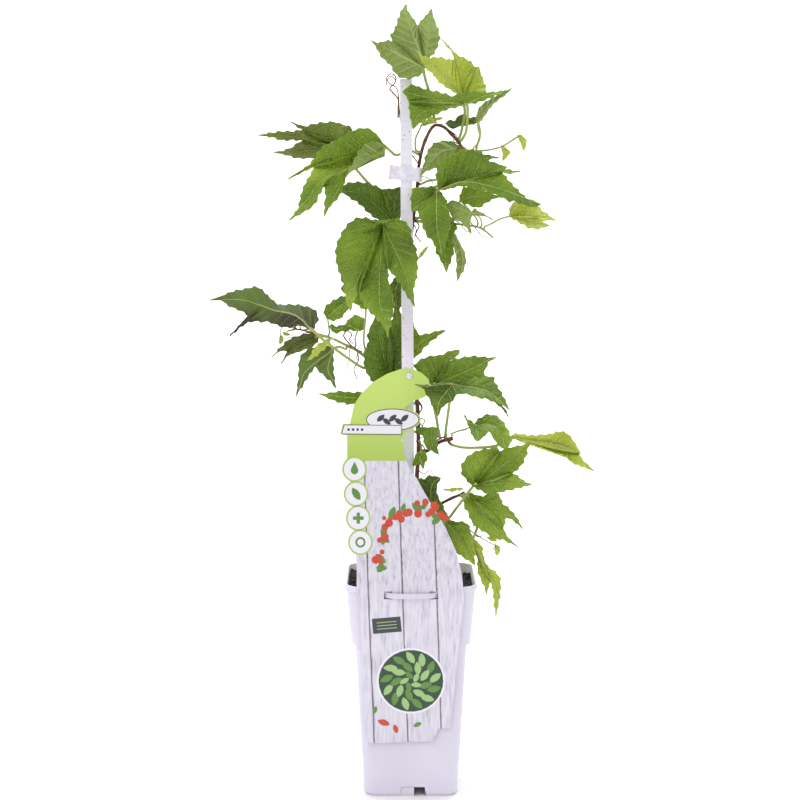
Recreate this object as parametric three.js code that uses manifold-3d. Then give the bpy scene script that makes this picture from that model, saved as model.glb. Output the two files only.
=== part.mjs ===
// A young Boston ivy in spring leaf, in the tall white nursery pot that it is grown in.
// The stem is tied to a white plastic stake by a clip, and a die-cut label hangs from the stake
// by a rivet and is held to the front of the pot by a moulded strap.
// Millimetres, +Z up. The origin is the middle of the pot's foot, and the front faces -Y.

import * as THREE from 'three';
import { mergeVertices } from 'three/addons/utils/BufferGeometryUtils.js';
import Module from 'manifold-3d';

const wasm = await Module();
wasm.setup();

// Pieces that touch on the real plant stand this far apart.
const SEAT_GAP = 0.3;

// Edges shorter than this, which a join leaves behind, are closed up.
const SHORT_EDGE = 0.05;

const POT_HEIGHT = 200;
const POT_WALL = 1.2;
const POT_RIM_HALF = 60.5;
const POT_CORNER_RADIUS = 17;
const COLLAR_FOOT = 144.2;
const COLLAR_STEP = 1.2;
const COLLAR_FOOT_HALF = 54.8;
const BODY_TOP_HALF = 51.4;
const BODY_FOOT_HALF = 43.2;
const BODY_FOOT = 2.4;
const FOOT_INSET = 1.6;
const BASE_UNDERSIDE = 10;
const BASE_THICKNESS = 1.6;
const SLOT_LEFT = 2.9;
const SLOT_RIGHT = 12.7;
const SLOT_TOP = 8.8;
const TAB_LEFT = -10;
const TAB_SUNK = 0.5;

const STRAP_HALF_SPAN = 25;
const STRAP_BOW = 66.2;
const STRAP_THICKNESS = 1.4;
const STRAP_LOW = 190.4;
const STRAP_HEIGHT = 4.8;

const SOIL_TOP = 187;
const SOIL_BUMP = 1.1;

const STAKE_WIDTH = 11;
const STAKE_DEPTH = 5;
const STAKE_FRONT = -4;
const STAKE_WALL = 1.2;
const STAKE_FOOT = 80;
const STAKE_TOP = 658;
const STAKE_FOOT_X = -0.8;
const STAKE_TOP_X = -4.7;
const STAKE_SOCKET_GAP = 0.5;

const CLIP_HEIGHT = 572;
const CLIP_BAND = 13;
const CLIP_WALL = 0.9;
const CLIP_LEFT = -19.2;
const CLIP_RIGHT = 9.8;
const CLIP_FRONT = -4.3;
const CLIP_BACK = 9.6;
const CLIP_CORNER_RADIUS = 4;
const CLIP_TILT = THREE.MathUtils.degToRad(5.5);

const LABEL_THICKNESS = 0.8;
const RIVET_X = -1.2;
const RIVET_Z = 387;
const RIVET_SHAFT_RADIUS = 1.5;
const RIVET_HOLE_RADIUS = 1.8;
const RIVET_HEAD_RADIUS = 3;
const RIVET_HEAD_HEIGHT = 1.6;

const BLADE_THICKNESS = 0.8;
const TOOTH_SPACING = 15;
const TOOTH_DEPTH = 1.3;
const TOOTH_LEAN = 0.12;
const SINUS_SET_BACK = 2.5;

// A lobe's rib lies below its blade by this share of the half width there. Veins leave the rib
// at a slant: for each millimetre out to the edge they run this far towards the tip.
const RIB_VALLEY = 0.2;
const VEIN_SLANT = 0.8;
const EDGE_SAMPLES = 60;

// The underside is set back along normals that are evened out over this distance.
const NORMAL_SPREAD = 6;

// A stalk's radius for each millimetre of its blade's reach, with its least and greatest.
const STALK_SHARE = 1 / 55;
const THINNEST_STALK = 0.7;
const THICKEST_STALK = 1.2;
const STALK_SIDES = 5;
const STALK_STEP = 11;
const STALK_LEAD = 2.2;
const STALK_RUN_UNDER_BLADE = 3;
const STALK_HOOK = 1;
const STALK_SUNK = 0.75;

const SHOOT_SIDES = 7;
const SHOOT_STEP = 7.5;

// Leaves and shoots are drawn in the front elevation, as they are seen by an eye two metres in
// front of the pot and a little above its middle: across from the pot's axis, up from its foot
// and forward of its axis. The eye's lines of sight carry each point to its real place.
const EYE = new THREE.Vector3(-10, -2000, 600);
const SIGHT_TILT = THREE.MathUtils.degToRad(6.73);
const SIGHT_ACROSS = -10.2;
const SIGHT_UP = 369.2;
const DRAWING_DISTANCE = 2024.6;

function drawn([across, up, forward]) {
  const rise = (up - SIGHT_UP) / DRAWING_DISTANCE;
  const side = (across - SIGHT_ACROSS) / DRAWING_DISTANCE;
  const cos = Math.cos(SIGHT_TILT);
  const sin = Math.sin(SIGHT_TILT);
  const away = -forward - EYE.y;
  const drop = (away * (rise * cos - sin)) / (cos + rise * sin);
  const depth = away * cos - drop * sin;
  return new THREE.Vector3(EYE.x + side * depth, -forward, EYE.z + drop);
}

// Each shoot leaves the one that carries it, and thins evenly from its foot to its tip.
const STEMS = {
  main: {
    on: null, radii: [2.5, 1.3],
    route: [[9.5, 146, -10], [9.5, 178.5, -10], [9, 206.5, -10], [8, 234.5, -9.5],
            [6.5, 262.5, -9.5], [5.5, 295, -9.5], [7, 322.5, -9.5], [6.5, 346, -9.5],
            [5.5, 369, -9.5], [1.5, 392.5, -12.5], [-6.5, 414, -19], [-14.5, 434.5, -21],
            [-13, 462, -18], [-6.5, 490, -12.5], [-0.5, 518, -8], [2.5, 541.5, -6.5],
            [5.5, 564.5, -6], [7.5, 588, -5.5], [13, 610, -4], [22, 624.5, -2.5],
            [30.5, 623, -1.5], [39, 615, -1], [45.5, 607.5, -1], [50.5, 602, -1], [57.5, 601, -1],
            [70.5, 601.5, 0], [84.5, 605, 2], [93, 610, 4], [100, 614.5, 6]],
  },
  right_twig: {
    on: 'main', radii: [1.5, 0.9],
    route: [[12, 535, -11], [23, 535, -14], [36.5, 533.5, -13], [50, 532, -9], [62.5, 530, -6],
            [69, 526.5, -5], [76.5, 520, -3]],
  },
  left_shoot: {
    on: 'main', radii: [1.7, 0.8],
    route: [[-14, 408.5, -24], [-23, 403.5, -22], [-32.5, 402.5, -16], [-42, 409, -9],
            [-51, 415.5, -4], [-66, 423, 1], [-75.5, 427.5, 2], [-84.5, 430, 2], [-96, 433, 3],
            [-107, 435, 5], [-115.5, 433, 8]],
  },
  mid_shoot: {
    on: 'main', radii: [1.8, 1.6],
    route: [[15, 322, -11], [22.5, 328, -9], [29, 331, -7.5], [34, 332.5, -7], [39, 333.5, -6.5]],
  },
  low_shoot: {
    on: 'main', radii: [1.7, 1.3],
    route: [[13, 266, -11], [21.5, 270.5, -10], [29, 273.5, -9], [38, 278, -8.5],
            [45.5, 281, -8.5], [50, 283.5, -9]],
  },
  young_shoot: {
    on: 'main', radii: [1, 0.7],
    route: [[5, 601, 0], [4, 605.5, 1], [4.5, 613, 3], [7.5, 619.5, 5], [10, 625, 6],
            [13, 629.5, 7], [15, 632.5, 8]],
  },
};

// Thin wiry tendrils and short aerial roots, fused into the shoots.
const TENDRIL_RADIUS = 0.7;
const TENDRILS = [
  [[7.5, 588, -5.5], [-1.5, 601.5, -5], [-8, 619, -4.6], [-11, 640.5, -4], [-11.6, 652, -2],
   [-14, 660, 0], [-18.5, 662.5, 1], [-22, 666.5, 1], [-18.5, 670.5, 1], [-14.5, 667, 1.6]],
  [[-106, 435, 5], [-112, 439.5, 7], [-118, 437.5, 9], [-124, 441.5, 12]],
  [[-50, 415, -4], [-49, 406, -2], [-53, 398, -1], [-50, 388, 0]],
  [[2, 538, -6.5], [7.5, 531, -3.5], [4.5, 523, -2], [9.5, 516, -1.5]],
  [[6.5, 369, -9.5], [10.5, 362, -5.5], [6, 353, -4.5], [11, 344, -4.5]],
];

// Unfolding leaflets at the shoot tips, drawn as the leaves are, without a stalk of their own.
const LEAFLETS = [
  {
    side: 'upper', joint: [100, 614.5, 6],
    edge: [
      [[98.5, 615.5, 7], [104, 615, 8], [107.5, 608.5, 9], [105, 600, 10]],
      [[102.5, 606, 8]],
    ],
  },
  {
    side: 'upper', joint: [84.5, 605, 2],
    edge: [
      [[87.5, 604, 3], [92, 601, 4], [90.5, 596.5, 5], [85, 591, 6]],
      [[85, 597, 4]],
    ],
  },
  {
    side: 'upper', joint: [15, 632.5, 8],
    edge: [
      [[18, 633, 9], [21.5, 628, 10], [22, 626, 11]],
      [[17.5, 628, 9]],
    ],
  },
  {
    side: 'upper', joint: [10, 625, 6],
    edge: [
      [[16, 631, 4], [23, 632, 3], [31, 632, 2]],
      [[22, 627.5, 3], [16, 625, 5]],
    ],
  },
];

// Every leaf: the shoot that carries it, the face that is turned to the front, the run of its
// stalk from the shoot to the blade's base, and its edge. The edge goes once round the blade
// from the base, and each stretch of it ends at a lobe's tip or in the notch between two lobes.
// Where a rib bends, the points that it passes are given by its lobe's number.
const LEAVES = {
  leaf_top: {
    on: 'main', side: 'under',
    stalk: [[23, 627.5, -4], [19, 645.5, -1], [16.5, 657, 3], [13.5, 667, 9], [11, 676, 13]],
    edge: [
      [[8, 671, 14], [-3.5, 668, 13], [-13, 671, 12], [-19.5, 681, 14], [-27, 687.5, 18],
       [-31.5, 695.5, 23], [-38, 704, 30]],
      [[-30, 701.5, 22], [-23, 703.5, 16], [-17.5, 702.5, 9]],
      [[-18.5, 709, 7], [-15, 714, 4], [-12, 723.5, -2], [-8.5, 732, -8], [-4.5, 738, -14]],
      [[-3, 730.5, -9], [2, 723.5, -7], [6, 717, -6]],
      [[9.5, 722, -9], [15, 728, -15], [19, 733.5, -20]],
      [[21, 724.5, -17], [24.5, 716, -14], [26.5, 707, -10], [24.5, 697, -4], [19.5, 689.5, 3],
       [15, 684.5, 9]],
    ],
  },
  leaf_top_bright: {
    on: 'main', side: 'upper',
    stalk: [[43.5, 612, -4], [47.5, 622, -7], [50, 637, -8], [48.5, 651, -4]],
    edge: [
      [[41, 655.5, 2], [31.5, 661, 6], [24.5, 666.5, 11], [21.5, 671, 13], [14, 678, 17],
       [9.5, 685.5, 18], [5.5, 694.5, 19]],
      [[12, 689, 15], [17.5, 687.5, 11], [27.5, 688, 5], [34.5, 686, 0], [40, 686, -4]],
      [[39, 691.5, -5], [33.5, 698, -4], [27, 707, -5]],
      [[34.5, 699, -6], [41.5, 691.5, -7], [47.5, 688, -10], [55, 684.5, -14], [59.5, 679, -16]],
      [[63.5, 679.5, -18]],
      [[66.5, 669, -16], [69, 662.5, -12], [70, 655, -7], [64, 650, -4], [56, 648, -4]],
    ],
  },
  leaf_top_front: {
    on: 'main', side: 'upper',
    stalk: [[46.5, 610.5, 2], [51, 618.5, 4], [52.5, 631.5, 4], [52, 644.5, 7]],
    edge: [
      [[60, 645.5, 8], [71, 649, 13], [80, 653, 18], [93, 658.5, 24]],
      [[79, 656, 15], [66.5, 655.5, 9], [53, 656.5, 5], [38, 651.5, 7]],
      [[27, 655.5, 7], [17.5, 657.5, 10], [9.5, 659.5, 13], [1, 662.5, 18], [-8, 656, 24]],
      [[-4.5, 652, 23], [-2, 646.5, 22]],
      [[-1.5, 639, 25], [0, 628.5, 28], [2, 620.5, 30]],
      [[6.5, 625, 27], [14, 631, 22], [22.5, 634.5, 18], [35.5, 640, 12], [43.5, 641.5, 9]],
    ],
  },
  leaf_top_dark: {
    on: 'main', side: 'upper',
    stalk: [[58.5, 602.5, -6], [63.5, 610, -10], [64.5, 619.5, -12], [61.5, 628.5, -9]],
    edge: [
      [[55, 625, -9], [46.5, 624.5, -11], [39, 621, -14]],
      [[35, 623, -16]],
      [[31.5, 626.5, -20]],
      [[36.5, 630, -18], [41.5, 629, -16], [43.5, 633, -16], [47, 635, -15], [51.5, 633, -13],
       [56.5, 632, -11], [60.5, 631.5, -10]],
    ],
  },
  leaf_top_pale: {
    on: 'main', side: 'under',
    stalk: [[61, 604, 2], [62.5, 609, 3], [64, 616, 3], [62.5, 622, 0.5], [62.5, 628, -2]],
    edge: [
      [[60.5, 632, -2.5], [64, 642, -2], [71.5, 648, -6], [81, 653.5, -14], [95, 660, -30]],
      [[89, 654, -27], [83, 649.5, -23], [76, 644, -17], [71.5, 638.5, -11], [67.5, 631.5, -6]],
    ],
  },
  leaf_left_front: {
    on: 'main', side: 'upper',
    stalk: [[6.5, 598, -10], [0, 601, -12], [-7.5, 599, -11], [-14, 597, -6], [-19.5, 601, 1],
            [-24.5, 604.5, 9]],
    bends: {
      0: [[-50, 600.5, 14], [-84, 590, 19]],
      1: [[-60, 588, 23], [-84, 574.5, 30], [-97, 556, 38]],
      2: [[-31, 600.5, 13], [-43, 592.5, 21], [-57, 582, 28], [-70, 562, 36]],
    },
    edge: [
      [[-31.5, 613, 8], [-34, 618.5, 8], [-42, 622, 8], [-53.5, 620, 10], [-67, 612, 12],
       [-82, 604.5, 16], [-87.5, 598, 18], [-93, 590, 19], [-100.5, 584, 18], [-116, 574, 14]],
      [[-101.5, 581, 20], [-90, 586, 24]],
      [[-92.5, 581, 26], [-100, 567, 33], [-103.5, 555, 38], [-105.5, 547, 40], [-115, 535, 44]],
      [[-104, 541.5, 43], [-96.5, 546, 42], [-90, 551, 40], [-85.5, 560, 37], [-81, 568.5, 34]],
      [[-79.5, 560.5, 38], [-80.5, 550, 43], [-81, 539.5, 48]],
      [[-76.5, 547.5, 44], [-69.5, 555.5, 40], [-64.5, 563, 36], [-62, 571.5, 33],
       [-59.5, 580.5, 34], [-54.5, 589.5, 35], [-49.5, 599.5, 32], [-41, 608, 25],
       [-31.5, 609.5, 17]],
    ],
  },
  leaf_left_back: {
    on: 'main', side: 'upper',
    stalk: [[3, 550.5, -8], [0, 549.5, -20], [-8, 549.5, -28], [-20, 554, -29], [-32, 564, -24],
            [-42.5, 574, -13], [-52.5, 586, -6], [-60.5, 599, -6], [-66, 605.5, -8]],
    edge: [
      [[-56, 611, -12], [-54, 619.5, -14], [-58, 624, -14], [-64.5, 625.5, -14],
       [-69.5, 627.5, -13], [-77.5, 627.5, -12], [-87.5, 626.5, -10], [-99.5, 624, -7],
       [-113, 629, -2]],
      [[-104, 622, -5], [-100.5, 620.5, -6]],
      [[-111.5, 619, -4], [-120.5, 619, -2], [-143.5, 615.5, 3]],
      [[-129.5, 613.5, 1], [-121, 611, -1], [-111.5, 611, -2], [-101, 610.5, -5]],
      [[-107, 607, -3], [-114.5, 602.5, 0], [-128.5, 599.5, 6]],
      [[-115.5, 597, 4], [-107, 594.5, 4], [-98.5, 594, 3], [-91, 595, 2], [-81, 596, -2],
       [-72.5, 599, -6]],
    ],
  },
  leaf_behind_stake: {
    on: 'main', side: 'upper',
    stalk: [[-1, 524.5, -8.5], [-8.5, 530, -16], [-16, 535.5, -14]],
    edge: [
      [[-23, 533.5, -11], [-31.5, 537.5, -9], [-39.5, 543.5, -7], [-47.5, 551.5, -4],
       [-55.5, 556.5, -2], [-64.5, 562.5, 1]],
      [[-63, 568.5, -1], [-55.5, 571.5, -4], [-45, 571.5, -8], [-35, 569, -12], [-27, 565.5, -14]],
      [[-22.5, 565.5, -16], [-16.5, 566, -18], [-8, 567.5, -21]],
      [[-5, 558, -20], [-5.5, 548, -18], [-10, 539.5, -16]],
    ],
  },
  leaf_centre_large: {
    on: 'main', side: 'upper',
    stalk: [[-2, 516, -9.5], [-10, 518, -10], [-19.5, 523.5, 4], [-25, 530, 19], [-26.5, 534, 29]],
    edge: [
      [[-35, 537, 27], [-43, 538.5, 25], [-49.5, 538.5, 23], [-56.5, 534.5, 22], [-62, 528.5, 22],
       [-67.5, 518, 23], [-70, 509.5, 24], [-69, 495.5, 28], [-65, 482.5, 34], [-61.5, 469.5, 39],
       [-60.5, 462, 42], [-56.5, 451, 46]],
      [[-53.5, 460.5, 46], [-48.5, 469.5, 47]],
      [[-44.5, 460.5, 49], [-39.5, 452.5, 51], [-33.5, 446.5, 51], [-26, 438, 52],
       [-21.5, 426, 52]],
      [[-20, 435, 53], [-18, 444.5, 54], [-16, 455, 55], [-17, 466.5, 54], [-20.5, 477.5, 51],
       [-21.5, 491.5, 47]],
      [[-15, 484, 49], [-9, 476, 49], [-4.5, 468.5, 47], [4, 455, 44]],
      [[2.5, 471.5, 38], [5.5, 483.5, 32], [6, 493.5, 28], [5.5, 507, 24], [1, 520, 20],
       [-1, 529.5, 19], [-8.5, 536.5, 21], [-15, 538, 24], [-20.5, 537, 27]],
    ],
  },
  leaf_right_under: {
    on: 'main', side: 'under',
    stalk: [[50, 601, -4], [47.5, 601, -3.5]],
    edge: [
      [[43, 606.5, -6], [34.5, 610, -6], [25, 609, -4], [20, 606.5, -2], [14.5, 598.5, 2],
       [11.5, 587.5, 7], [8, 576, 12]],
      [[14.5, 582, 10], [22, 584.5, 8], [30, 586, 5], [38, 590.5, 1], [43.5, 595, -2]],
    ],
  },
  leaf_right_large: {
    on: 'main', side: 'upper',
    stalk: [[6, 559, -6], [14, 563, -3], [24, 568, -1], [30, 568.5, 4], [29.5, 566.5, 9.5],
            [27, 565, 15]],
    bends: { 1: [[48, 572.5, 22], [75, 568, 31]] },
    edge: [
      [[24.5, 571.5, 18], [23.5, 579.5, 21], [25, 585.5, 22], [30, 592.5, 21], [38, 597, 19],
       [46, 600.5, 17], [56, 602, 16], [64.5, 600, 18], [70.5, 593, 22], [78, 590, 26],
       [89.5, 586, 31]],
      [[84.5, 581, 29]],
      [[90.5, 574, 31], [96, 568, 34], [102.5, 561.5, 37], [109.5, 555.5, 40], [122, 551.5, 46]],
      [[115, 548.5, 45], [105.5, 550.5, 43], [96.5, 554, 40], [91.5, 554, 39], [83.5, 558, 36],
       [74.5, 561.5, 33], [60.5, 565.5, 27], [49.5, 568, 22], [37, 566.5, 17]],
    ],
  },
  leaf_right_behind: {
    on: 'main', side: 'upper',
    stalk: [[55, 599, -7], [51, 594.5, -12], [47.5, 589.5, -12]],
    edge: [
      [[51, 595, -14], [62.5, 598.5, -16], [71.5, 597, -18], [83.5, 594.5, -22]],
      [[73.5, 593, -18], [68, 590.5, -14]],
      [[81, 586, -16], [90, 583.5, -18], [103.5, 581.5, -22]],
      [[92, 580, -16], [83, 580.5, -12], [71.5, 578.5, -8], [58.5, 579.5, -8], [50, 583, -10]],
    ],
  },
  leaf_right_hanging: {
    on: 'main', side: 'upper',
    stalk: [[5, 548, -6], [12, 550.5, -3], [18.5, 557, 3], [24, 563.5, 10.5]],
    edge: [
      [[21, 567, 11], [17, 568, 10], [12, 566.5, 9], [5, 567, 9], [1.5, 564.5, 9], [0, 556.5, 10],
       [0.5, 544.5, 12]],
      [[6, 545, 13]],
      [[9, 537, 15], [12.5, 527, 18], [15.5, 521, 20], [20.5, 516.5, 22], [24.5, 508.5, 25],
       [28.5, 503, 28]],
      [[30.5, 511, 25], [34, 522, 20], [36.5, 531, 15], [37, 537.5, 12], [35.5, 545.5, 9],
       [32.5, 554.5, 9], [28.5, 561.5, 10]],
    ],
  },
  leaf_right_low: {
    on: 'main', side: 'upper',
    stalk: [[4, 538.5, -6], [13, 540.5, -10], [21.5, 545, -11], [29, 544, -9]],
    edge: [
      [[23, 537.5, -8], [19.5, 526.5, -6], [22, 514, -3], [24.5, 505, 0], [28.5, 498, 2],
       [33, 487, 5]],
      [[35.5, 494, 2], [38, 501, 0], [40, 509.5, -3], [38.5, 520, -5], [42.5, 529, -7],
       [39.5, 536.5, -9], [34.5, 542.5, -10]],
    ],
  },
  leaf_right_pale: {
    on: 'right_twig', side: 'under',
    stalk: [[32.5, 530, -15], [37.5, 524, -15]],
    edge: [
      [[36.5, 520, -10], [39, 513, -7], [41.5, 505, -5], [42.5, 496, -3], [42, 489, -3],
       [43, 479, -4]],
      [[47.5, 488, -9], [50.5, 495, -12], [50.5, 503, -15], [48.5, 509, -17], [45, 515, -18],
       [42, 521.5, -18]],
    ],
  },
  leaf_right_small: {
    on: 'right_twig', side: 'upper',
    stalk: [[61.5, 531.5, -6], [60.5, 538.5, -10], [53.5, 546.5, -12], [47, 554, -8]],
    edge: [
      [[45.5, 559, -8], [47, 564, -8], [52, 567.5, -9], [66, 564.5, -6], [83.5, 558, -1]],
      [[76.5, 556, -1], [70.5, 553, -1], [62.5, 548, -2], [55.5, 550, -4], [50.5, 551.5, -6]],
    ],
  },
  leaf_right_twig: {
    on: 'right_twig', side: 'under',
    stalk: [[66, 532, -4.5], [64.5, 538, -2], [60.5, 541.5, 1], [55.5, 542.5, 2]],
    edge: [
      [[58, 547, -1], [66, 543, 1], [78, 536, 6]],
      [[68, 540, 4], [58.5, 541.5, 3]],
      [[55.5, 537.5, 4], [56, 523, 8]],
      [[50, 531, 6], [44, 536, 4], [39, 537, 2]],
      [[33, 551.5, -3]],
      [[39, 555, -5], [46.5, 551.5, -4], [52, 548, -2]],
    ],
  },
  leaf_right_light: {
    on: 'right_twig', side: 'upper',
    stalk: [[68.5, 530, -5], [73.5, 532.5, -3], [83, 537.5, 0], [93, 540.5, 2]],
    edge: [
      [[92, 545, 0], [92.5, 549.5, -2], [96, 553, -3], [103, 554.5, -4], [112, 556, -5],
       [118, 549.5, -1], [124, 544, 4], [136, 536, 12]],
      [[128.5, 536.5, 11], [123.5, 536, 11], [118.5, 539, 9]],
      [[123, 535, 12], [129.5, 531.5, 16]],
      [[121, 529, 15], [114, 528.5, 14], [109.5, 529.5, 13], [104.5, 532, 10], [98.5, 535.5, 6]],
    ],
  },
  leaf_left_far: {
    on: 'left_shoot', side: 'under',
    stalk: [[-37, 396.5, -11], [-43.5, 399, -6], [-56.5, 406.5, 6], [-75.5, 420.5, 22],
            [-84, 427, 25], [-92.5, 434, 26]],
    bends: { 0: [[-110, 447, 24], [-132, 452, 33], [-156, 461, 43]] },
    edge: [
      [[-89, 438, 20], [-86.5, 446.5, 14], [-89, 452.5, 12], [-99.5, 456.5, 11], [-108, 457.5, 13],
       [-115.5, 457.5, 16], [-123, 457.5, 20], [-131, 463.5, 26], [-139, 472, 33],
       [-144.5, 474.5, 37], [-154.5, 472.5, 41], [-165, 470.5, 46], [-176.5, 466, 52],
       [-189, 462, 58]],
      [[-176.5, 461.5, 54], [-169.5, 456.5, 51], [-162, 453.5, 48], [-154, 449.5, 45],
       [-150.5, 445, 43], [-157, 440, 45], [-169, 428, 50], [-156, 439, 44], [-148.5, 442, 42], [-139.5, 442, 39], [-131.5, 441.5, 37],
       [-123.5, 438.5, 35], [-114.5, 436.5, 32], [-106, 439.5, 29], [-99.5, 437, 26]],
    ],
  },
  leaf_left_low: {
    on: 'left_shoot', side: 'upper',
    stalk: [[-74.5, 426.5, 6.5], [-80, 428, 10], [-87, 428.5, 14]],
    edge: [
      [[-93, 431.5, 13], [-101.5, 429.5, 13], [-111, 427, 14], [-115.5, 424, 15],
       [-121.5, 418, 17], [-131.5, 407.5, 22]],
      [[-121, 415, 19], [-115.5, 414.5, 19]],
      [[-118, 408.5, 21], [-121.5, 402, 25]],
      [[-112.5, 412, 21], [-109, 412, 20], [-104.5, 414, 19], [-98.5, 416, 18], [-92, 418, 17],
       [-87.5, 423, 16]],
    ],
  },
  leaf_left_hanging: {
    on: 'left_shoot', side: 'under',
    stalk: [[-60.5, 417, 0], [-66, 418.5, 3], [-73.5, 417, 7]],
    edge: [
      [[-83, 419, 8], [-91, 418, 11], [-97.5, 415, 13], [-103, 409, 16], [-104.5, 400, 18],
       [-105, 388, 20], [-107.5, 371.5, 23]],
      [[-103.5, 378.5, 21], [-98.5, 386, 18], [-93.5, 394.5, 14], [-89.5, 400.5, 10]],
      [[-86, 396.5, 8], [-82, 392.5, 6], [-75.5, 387, 3], [-69.5, 379, 0]],
      [[-71.5, 389.5, 0], [-72.5, 401, 1], [-72.5, 411.5, 4]],
    ],
  },
  leaf_left_lime: {
    on: 'left_shoot', side: 'upper',
    stalk: [[-72.5, 426, 7], [-74, 426, 12], [-75.5, 425.5, 16]],
    edge: [
      [[-80, 424.5, 17], [-87.5, 419.5, 20], [-97, 405.5, 25]],
      [[-89.5, 409, 24], [-83, 415, 21], [-76.5, 421, 18]],
    ],
  },
  leaf_left_veined: {
    on: 'left_shoot', side: 'upper',
    stalk: [[-76.5, 429.5, 3.5], [-76.5, 438, 3], [-77, 446.5, 3]],
    edge: [
      [[-80, 448.5, 4], [-81, 452.5, 4], [-78.5, 457, 2], [-74, 460.5, -1], [-69, 463.5, -4],
       [-62.5, 466, -8], [-55, 464, -10]],
      [[-56.5, 458.5, -6], [-58.5, 454, -2], [-62.5, 448.5, 2], [-66.5, 445, 5], [-71.5, 443, 6],
       [-75.5, 444, 5]],
    ],
  },
  leaf_left_wavy: {
    on: 'left_shoot', side: 'upper',
    stalk: [[-52, 418, -3], [-52, 426, -3], [-50.5, 431, -2], [-49.5, 434.5, 0]],
    edge: [
      [[-56.5, 434, 1], [-64, 433, 3], [-71.5, 431.5, 6], [-76, 437.5, 9]],
      [[-74, 440, 8], [-70, 438, 5], [-64, 438.5, 3], [-59, 442, 0], [-56, 446, -3],
       [-52, 448, -5], [-46.5, 447, -7], [-43.5, 443.5, -8], [-43, 439, -7], [-45.5, 434, -3]],
    ],
  },
  leaf_left_tucked: {
    on: 'left_shoot', side: 'upper',
    stalk: [[-43.5, 412, -6], [-44, 424, -4], [-43, 438, 1], [-42, 451, 5], [-42, 455.5, 8]],
    edge: [
      [[-45.5, 454.5, 9], [-52, 459, 11], [-57.5, 464, 13], [-65.5, 472.5, 16]],
      [[-60.5, 479, 12], [-56.5, 481.5, 9]],
      [[-55, 490, 5], [-45.5, 503, 0]],
      [[-38, 494, 0], [-32.5, 481, 1], [-31.5, 468, 4], [-36.5, 457.5, 7]],
    ],
  },
  leaf_left_label: {
    on: 'main', side: 'upper',
    stalk: [[3.5, 366.5, -11.5], [-8.5, 368.5, -13], [-21.5, 370.5, -10]],
    edge: [
      [[-34.5, 378, -8], [-47.5, 376.5, -5], [-58.5, 376.5, -2], [-66, 377.5, 0],
       [-77.5, 375.5, 2], [-87.5, 375.5, 5]],
      [[-78.5, 371.5, 4], [-70, 368, 2], [-61.5, 366, 0], [-54, 365, -3], [-43, 363.5, -6],
       [-31.5, 364.5, -9]],
    ],
  },
  leaf_dark: {
    on: 'main', side: 'upper',
    stalk: [[1, 381, -11], [-5, 378, -13], [-11, 378.5, -13], [-17.5, 385, -11]],
    edge: [
      [[-29, 382, -6], [-36.5, 387.5, -3], [-41.5, 396, 0], [-43.5, 406.5, 1], [-42, 415.5, 1],
       [-39.5, 424, 0], [-40.5, 428, 0], [-39, 434, -1], [-36, 440.5, -3], [-32.5, 448.5, -5]],
      [[-28, 443.5, -7], [-21, 436, -11]],
      [[-17.5, 443.5, -14], [-11, 454, -18]],
      [[-7, 443.5, -18], [-5, 429.5, -17.5], [-5.5, 415.5, -15.5], [-7.5, 401, -12], [-12, 389.5, -11]],
    ],
  },
  leaf_centre_small: {
    on: 'main', side: 'upper',
    stalk: [[-9, 485, -9], [-10, 481, -5]],
    edge: [
      [[-16, 481.5, -4], [-20, 473.5, -2], [-18.5, 461.5, 0], [-13, 446, 1]],
      [[-9.5, 455.5, -3.5], [-7, 469.5, -6.5], [-7.5, 478, -6.5]],
    ],
  },
  leaf_right_stake: {
    on: 'main', side: 'upper',
    stalk: [[-1.5, 401, -10], [-2, 407.5, -11], [-2.5, 413.5, -11]],
    edge: [
      [[-7.5, 420.5, -10.5], [-6.5, 431.5, -12], [-3.5, 439, -13], [1, 444.5, -12]],
      [[4.5, 435, -12], [8, 429.5, -11]],
      [[18, 431.5, -8], [27, 434, -5], [33, 434, -2]],
      [[24.5, 428, -5], [18, 423, -8], [10.5, 415.5, -10], [3.5, 408.5, -11]],
    ],
  },
  leaf_mid_back: {
    on: 'mid_shoot', side: 'upper',
    stalk: [[27, 334.5, -9], [24, 350.5, -12], [20.5, 369, -8], [20.5, 384, -3]],
    bends: { 2: [[43, 385.5, -2], [65, 379, 5], [79, 368.5, 11]] },
    edge: [
      [[13, 387.5, -3], [6, 395, -5], [4, 402, -7], [8.5, 406.5, -9], [18, 410, -11],
       [27.5, 411, -12], [37, 415, -14], [45.5, 416.5, -17]],
      [[44, 411, -14], [35, 405.5, -9]],
      [[44.5, 408, -9], [58.5, 410, -8], [68, 409, -7], [80.5, 409, -6]],
      [[73, 405, -4], [69.5, 399, -1], [68, 392.5, 1], [70, 385, 3]],
      [[79, 374, 10], [94, 349, 22]],
      [[83.5, 362.5, 14], [71.5, 370, 8], [58.5, 375, 3], [45.5, 379.5, 1], [32.5, 382, -1]],
    ],
  },
  leaf_mid_front: {
    on: 'mid_shoot', side: 'upper',
    stalk: [[32, 336, -5], [33.5, 349.5, -1], [36, 367, 3], [37.5, 376.5, 9], [38, 384.5, 15]],
    edge: [
      [[45.5, 387.5, 15], [53, 388.5, 14], [61, 390, 13], [69, 391, 14], [76, 391, 16],
       [78, 386, 20], [81.5, 380.5, 26], [84.5, 375, 31], [88.5, 367.5, 37], [92, 359.5, 43]],
      [[83.5, 366, 39], [77.5, 368, 37], [71.5, 370, 35], [63.5, 371.5, 32], [56, 373.5, 30],
       [49, 375.5, 27], [42.5, 374.5, 26]],
      [[38, 368.5, 27], [30.5, 364, 29], [25, 353.5, 35]],
      [[21.5, 360.5, 32], [17, 370, 28], [14, 375.5, 26], [11.5, 380, 25]],
      [[3.5, 384, 26]],
      [[13.5, 383, 23], [27.5, 383, 18]],
    ],
  },
  leaf_mid_heart: {
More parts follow.
